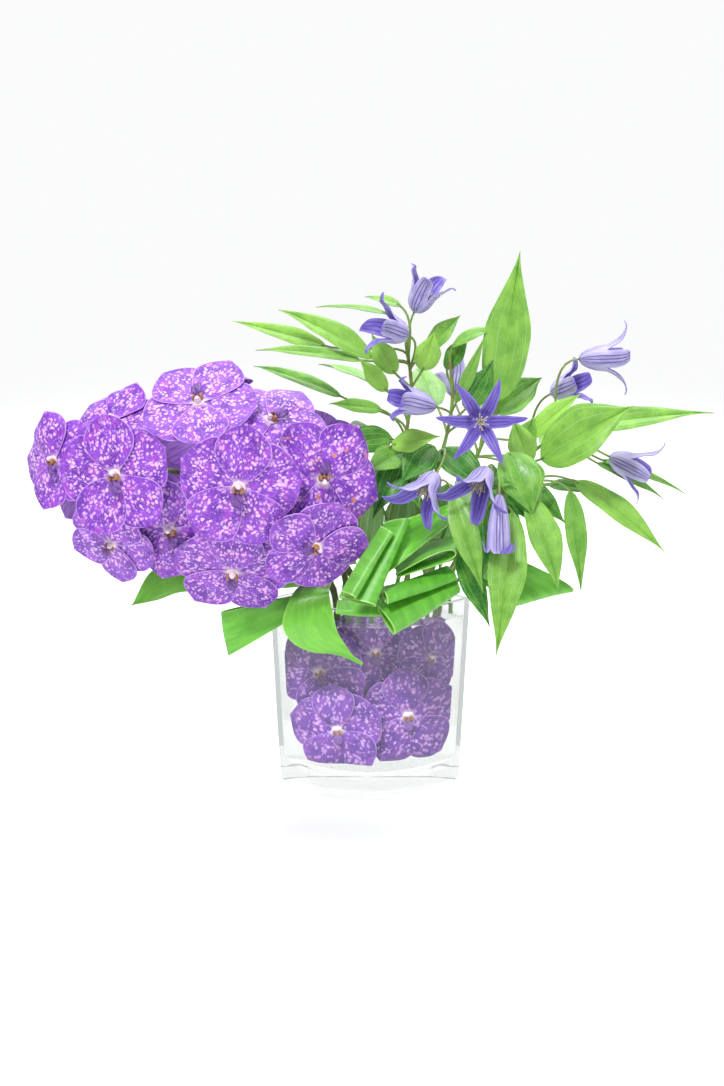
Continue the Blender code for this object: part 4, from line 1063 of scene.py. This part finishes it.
def make_spikes():
    stem = stem_material("vanda_stem_skin", shade(104, 134, 60), shade(110, 96, 66), 1.2)
    for number, points in enumerate(SPIKES, 1):
        path = smooth_path(vec(points), 12)
        share = np.linspace(0, 1, len(path))
        radii = SPIKE_RADIUS * (1 - SPIKE_TAPER * share)
        radii = radii * (1 + 0.10 * np.clip(np.cos(share * 60), 0, 1) ** 8 - 0.03)
        piece = Piece(f"vanda_spike_{number}_stem")
        piece.tube(path, radii, 14, 0)
        piece.build([stem], f"vanda_spike_{number}")


# Clematis

def add_leaf(piece, base, tip, width, bow, face, tone, seed):
    """A lance-shaped leaf, keeled along its middle vein, with a slightly waved margin."""
    dice = np.random.RandomState(seed)
    t = np.linspace(0, 1, LEAF_ROWS)[:, None]
    u = np.linspace(-1, 1, LEAF_COLUMNS)
    middle = (base + tip) / 2 + face * bow * 2
    centre = base * (1 - t) ** 2 + middle * 2 * t * (1 - t) + tip * t * t
    tangent = normalised((middle - base) * (1 - t) + (tip - middle) * t)
    normal = normalised(face - tangent * (tangent @ face)[:, None])
    side = np.cross(tangent, normal)
    half = width / 2 * np.sin(pi * np.minimum(t, 0.9999) ** 0.72) ** (0.9 + 0.7 * t)
    half += 0.0009 * (1 - t) + 0.00015
    half *= 1 + 0.03 * np.sin(t * 17 + dice.uniform(0, tau))
    turn = dice.uniform(0, tau, 2)
    twist = radians(dice.uniform(-16, 16)) * t ** 2
    side, normal = (side * np.cos(twist) + normal * np.sin(twist),
                    normal * np.cos(twist) - side * np.sin(twist))
    x = half * u
    belly = 4 * t * (1 - t)
    keel = width * belly * (0.20 * np.abs(u) ** 0.8 - 0.10)
    arch = -width * 0.10 * u ** 4 * belly
    wave = width * 0.04 * np.sin(9 * t + turn[0] + 1.2 * np.sign(u)) * u ** 2 * belly
    rise = keel + arch + wave
    grid = centre[:, None] + side[:, None] * x[..., None] + normal[:, None] * rise[..., None]
    flat = paired(x * 100 + seed * 2.9, t * np.linalg.norm(tip - base) * 100)
    ribs = 0.0005 * np.exp(-(u / 0.10) ** 2) * (1 - t)
    piece.sheet(grid, flat, paired(u, t), LEAF_THICKNESS, (0, 1, 1), (tone, dice.uniform()), ribs)


def add_twig(piece, path, near, end, end_way):
    """A thin stalk that leaves the stem near a place, arches, and meets its end along one way."""
    start = path[max(nearest_index(path, near) - 4, 0)]
    reach = 0.4 * np.linalg.norm(end - start)
    curve = cubic(start, start + np.array([0, 0, 0.6]) * reach, end - end_way * reach, end,
                  np.linspace(0, 1, 12))
    piece.tube(curve, TWIG_RADIUS * np.linspace(1.1, 0.9, 12), 8, 2)


def make_sprigs():
    looks = [leaf_material("clematis_leaf_front", shade(34, 122, 26), shade(158, 214, 84),
                           shade(170, 218, 130), 0.34),
             leaf_material("clematis_leaf_back", shade(122, 176, 98), shade(176, 212, 136),
                           shade(206, 230, 180), 0.5),
             stem_material("clematis_stem_skin", shade(120, 160, 70), shade(134, 116, 76), 1.6)]
    for number, points in enumerate(SPRIGS, 1):
        path = smooth_path(vec(points), 12)
        share = np.linspace(0, 1, len(path))
        radii = SPRIG_RADIUS * (1 - 0.4 * share) * (1 + 0.22 * np.cos(share * 40) ** 16)
        piece = Piece(f"clematis_sprig_{number}_growth")
        piece.tube(path, radii, 10, 2)
        for seed, (sprig, base, tip, width, bow, face, tone) in enumerate(LEAVES):
            if sprig == number:
                base, tip, face = vec(base), vec(tip), facing(*face)
                add_leaf(piece, base, tip, width * MM, bow * MM, face, tone, seed)
                along = unit((tip - base) / 2 + face * bow * 2 * MM)
                add_twig(piece, path, base, base + along * 0.003, along)
        for sprig, base, way, *_ in BELLS:
            if sprig == number:
                base, way = vec(base), facing(*way)
                add_twig(piece, path, base - way * 0.03, base, way)
        piece.build(looks, f"clematis_sprig_{number}")


def add_tepal(piece, pose, angle, share, sizes, seed):
    """One tepal: part of the bell's wall, then a pointed tongue that curls outwards."""
    base, axis, right, up = pose
    length, mouth, parting = sizes
    dice = np.random.RandomState(seed)
    s = np.linspace(0, 1, TEPAL_ROWS)[:, None]
    t = np.linspace(1, -1, TEPAL_COLUMNS)
    bulb = min(0.0080, mouth * 0.6 + 0.002) * 1.04
    q = np.clip((s - parting) / (1 - parting), 0, 1)
    wall = bulb * np.sin(np.clip(s / parting, 0, 1) * pi / 2) ** 0.55
    radius = wall + (mouth * 1.3 - bulb) * q ** 1.15 + 0.0006
    height = length * (s - 0.30 * q ** 3)
    quarter = radius * pi * share * 1.02
    tongue = bulb * 3.2 * share * (1 - q) ** 0.62 * (1 + 0.22 * np.sin(pi * q)) + 0.0003
    x = np.where(s < parting, quarter, np.minimum(quarter, tongue)) * t
    bend = np.maximum(wall, 0.0012) * (1 + 1.2 * q)
    outward = unit(right * cos(angle) + up * sin(angle))
    sway = radians(dice.uniform(-22, 22)) * q ** 2 * length * 0.5
    frill = 0.0013 * np.sin(14 * s + dice.uniform(0, tau)) * t ** 2 * q * (1 - q) * 4
    lateral = bend * np.sin(x / bend) + sway
    away = radius - bend * (1 - np.cos(x / bend)) + frill
    grid = (base + axis * height[..., None] + outward * away[..., None]
            + np.cross(axis, outward) * lateral[..., None])
    ribs = sum(np.exp(-((t - c) / 0.09) ** 2) for c in (-0.36, 0.0, 0.36)) * 0.0004 * (1 - q)
    piece.sheet(grid, paired(x * 100 + seed, s * length * 100), paired(t, s), TEPAL_THICKNESS,
                (1, 0, 1), (dice.uniform(), 0.0), ribs)


def add_stamens(piece, base, axis, right, up, length):
    for k in range(STAMENS):
        turn = tau * k / STAMENS
        out = right * cos(turn) + up * sin(turn)
        spread = 0.0012 + 0.0022 * (k % 3) / 2
        reach = length * (0.42 + 0.06 * (k % 4) / 3)
        path = [base + axis * 0.003 + out * 0.0008, base + axis * reach * 0.6 + out * spread,
                base + axis * reach + out * spread * 1.7]
        piece.tube(path, [0.0003, 0.0003, 0.00045], 4, 2)


def make_bells():
    looks = [tepal_material("clematis_tepal_outside", shade(150, 138, 204), shade(52, 38, 104),
                            shade(204, 196, 236), 2.8),
             tepal_material("clematis_tepal_inside", shade(98, 76, 184), shade(66, 44, 150),
                            shade(146, 130, 214), 2.0),
             plain_material("clematis_stamen", shade(232, 226, 180), shade(206, 196, 150), 4.0, 0.5)]
    for number, (_, base, way, length, mouth, parting, tepals) in enumerate(BELLS, 1):
        axis = facing(*way)
        pose = (vec(base), axis, *frame_from(axis))
        piece = Piece(f"clematis_bell_{number:02d}")
        for k in range(tepals):
            add_tepal(piece, pose, tau * k / tepals, 1 / tepals,
                      (length * MM, mouth * MM, parting), number * 11 + k)
        add_stamens(piece, *pose, length * MM)
        piece.build(looks, f"clematis_flower_{number:02d}")


# Aspidistra

def stalk_path(along, side, start):
    """A leaf stalk's way from the blade over the rim and down inside the glass."""
    x = along * MM
    width, depth = vase_size(VASE_HEIGHT, WALL + STALK_THICKNESS / 2 + 2 * GAP)
    reach = abs(x) + STALK_WIDTH / 2
    y = side * depth / 2 * (1 - (2 * reach / width) ** 2)
    return smooth_path(np.array([start, (x, y * 0.95, VASE_HEIGHT + 0.009),
                                 (x, y, VASE_HEIGHT - 0.002), (x, y, WATER_LEVEL + 0.003)]), 6)


def make_aspidistra(name, edges, stalk, looks, tone, seed, crown=0.0):
    """A leaf: a blade between two edges, its section arched a little, and its stalk."""
    dice = np.random.RandomState(seed)
    t = np.linspace(0, 1, BLADE_COLUMNS)
    across = edges[:, 1] - edges[:, 0]
    middle = edges.mean(axis=1)
    normal = normalised(np.cross(across, normalised(np.gradient(middle, axis=0))))
    width = np.linalg.norm(across, axis=1)[:, None]
    run = run_length(middle)[:, None]
    rise = crown * width * (4 * t * (1 - t))
    rise += 0.0005 * np.sin(run * 90 + 5 * t + dice.uniform(0, tau))
    grid = edges[:, :1] * (1 - t)[:, None] + edges[:, 1:] * t[:, None]
    grid += normal[:, None] * rise[..., None]
    piece = Piece(name + "_blade")
    piece.sheet(grid, paired((t - 0.5) * width * 100 + seed * 4.1, run * 100),
                paired(2 * t - 1, run / run[-1]), BLADE_THICKNESS, (0, 1, 2),
                (tone, dice.uniform()))
    piece.tube(stalk_path(*stalk, middle[-1]), STALK_WIDTH / 2, 10, 3, squash=0.7)
    piece.build(looks, name)


def fold_edges(nose_a, nose_b, end_a, end_b, radii):
    """Both edges of a blade that folds back over itself, from one far end to the other."""
    nose_a, nose_b, end_a, end_b = vec([nose_a, nose_b, end_a, end_b])
    leg = (end_a + end_b - nose_a - nose_b) / 2
    out = unit(np.cross(nose_b - nose_a, leg))
    out = out if out[2] < 0 else -out
    u = np.linspace(-1, 1, FOLD_ROWS)
    u = (np.sign(u) * np.abs(u) ** 1.25)[:, None]
    edges = []
    for nose, end, radius in zip((nose_a, nose_b), (end_a, end_b), radii):
        opening = sqrt(2 * np.linalg.norm(leg) * radius * MM)
        rise = LAYER_SPREAD / 2 * u * np.abs(u) + opening * u * (1 - np.abs(u))
        edges.append(nose + (end - nose) * u * u + out * rise)
    return np.stack(edges, 1)


def make_aspidistras():
    looks = [blade_material("aspidistra_front", shade(50, 152, 16), shade(106, 204, 44),
                            shade(176, 230, 118), 0.2),
             blade_material("aspidistra_back", shade(50, 144, 22), shade(102, 194, 50),
                            shade(176, 224, 124), 0.34),
             plain_material("aspidistra_rim", shade(188, 226, 140), shade(150, 208, 96), 2.0, 0.4),
             stem_material("aspidistra_stalk_skin", shade(84, 158, 52), shade(110, 150, 66), 1.4)]
    for number, (*fold, stalk) in enumerate(FOLDS, 1):
        make_aspidistra(f"aspidistra_fold_{number}", fold_edges(*fold), stalk, looks,
                        0.15 + 0.1 * (number % 3), number)
    for number, (stations, stalk) in enumerate(BLADES, 1):
        edges = [smooth_path(vec([station[k] for station in stations[::-1]]), 7) for k in (0, 1)]
        make_aspidistra(f"aspidistra_leaf_{number}", np.stack(edges, 1), stalk, looks, 0.5,
                        20 + number, 0.05)


# Room, light and camera

def make_floor():
    """A pale floor that sweeps up behind."""
    sweep = ROOM_SWEEP
    profile = [(ROOM_FRONT, 0.0), (ROOM_BACK - sweep, 0.0)]
    profile += [(ROOM_BACK - sweep + sweep * sin(t), sweep - sweep * cos(t))
                for t in np.linspace(0.1, pi / 2, 12)]
    profile.append((ROOM_BACK, ROOM_HEIGHT))
    points = [(x, y, z) for y, z in profile for x in (-ROOM_HALF_WIDTH, ROOM_HALF_WIDTH)]
    faces = [(2 * k, 2 * k + 1, 2 * k + 3, 2 * k + 2) for k in range(len(profile) - 1)]
    floor = mesh_object("floor", points, faces, [floor_material()], 180)


def point_at(thing, place, aim):
    thing.location = place
    thing.rotation_euler = (Vector(aim) - Vector(place)).to_track_quat("-Z", "Y").to_euler()
    bpy.context.collection.objects.link(thing)


def make_studio():
    net = Net("soft_studio", library=bpy.data.worlds)
    background = net.nodes["Background"].inputs
    net.put(background["Color"], (1.0, 1.0, 1.0))
    glow = net.node("ShaderNodeMapRange", {"Value": seen_rays(net)[1], "To Min": WORLD_LIGHT,
                                           "To Max": WORLD_SEEN})
    net.put(background["Strength"], glow.outputs["Result"])
    scene = bpy.context.scene
    scene.world = net.owner
    for name, place, aim, size, power in LIGHTS:
        data = bpy.data.lights.new(name, "AREA")
        data.energy = power
        data.size = size
        point_at(bpy.data.objects.new(name, data), place, aim)
    scene.view_settings.view_transform = "Standard"
    scene.view_settings.exposure = 0.0
    scene.cycles.max_bounces = MOST_BOUNCES
    scene.cycles.glossy_bounces = GLOSSY_BOUNCES
    scene.cycles.transmission_bounces = CLEAR_BOUNCES


def make_camera():
    data = bpy.data.cameras.new("camera")
    data.sensor_width = SENSOR
    data.lens = FOCAL_PIXELS * SENSOR / PICTURE_HEIGHT
    camera = bpy.data.objects.new("camera", data)
    point_at(camera, CAMERA_PLACE, CAMERA_AIM)
    bpy.context.scene.camera = camera


def main():
    make_blooms()
    make_spikes()
    make_sprigs()
    make_bells()
    make_aspidistras()
    make_vase()
    make_water()
    make_floor()
    make_studio()
    make_camera()


main()
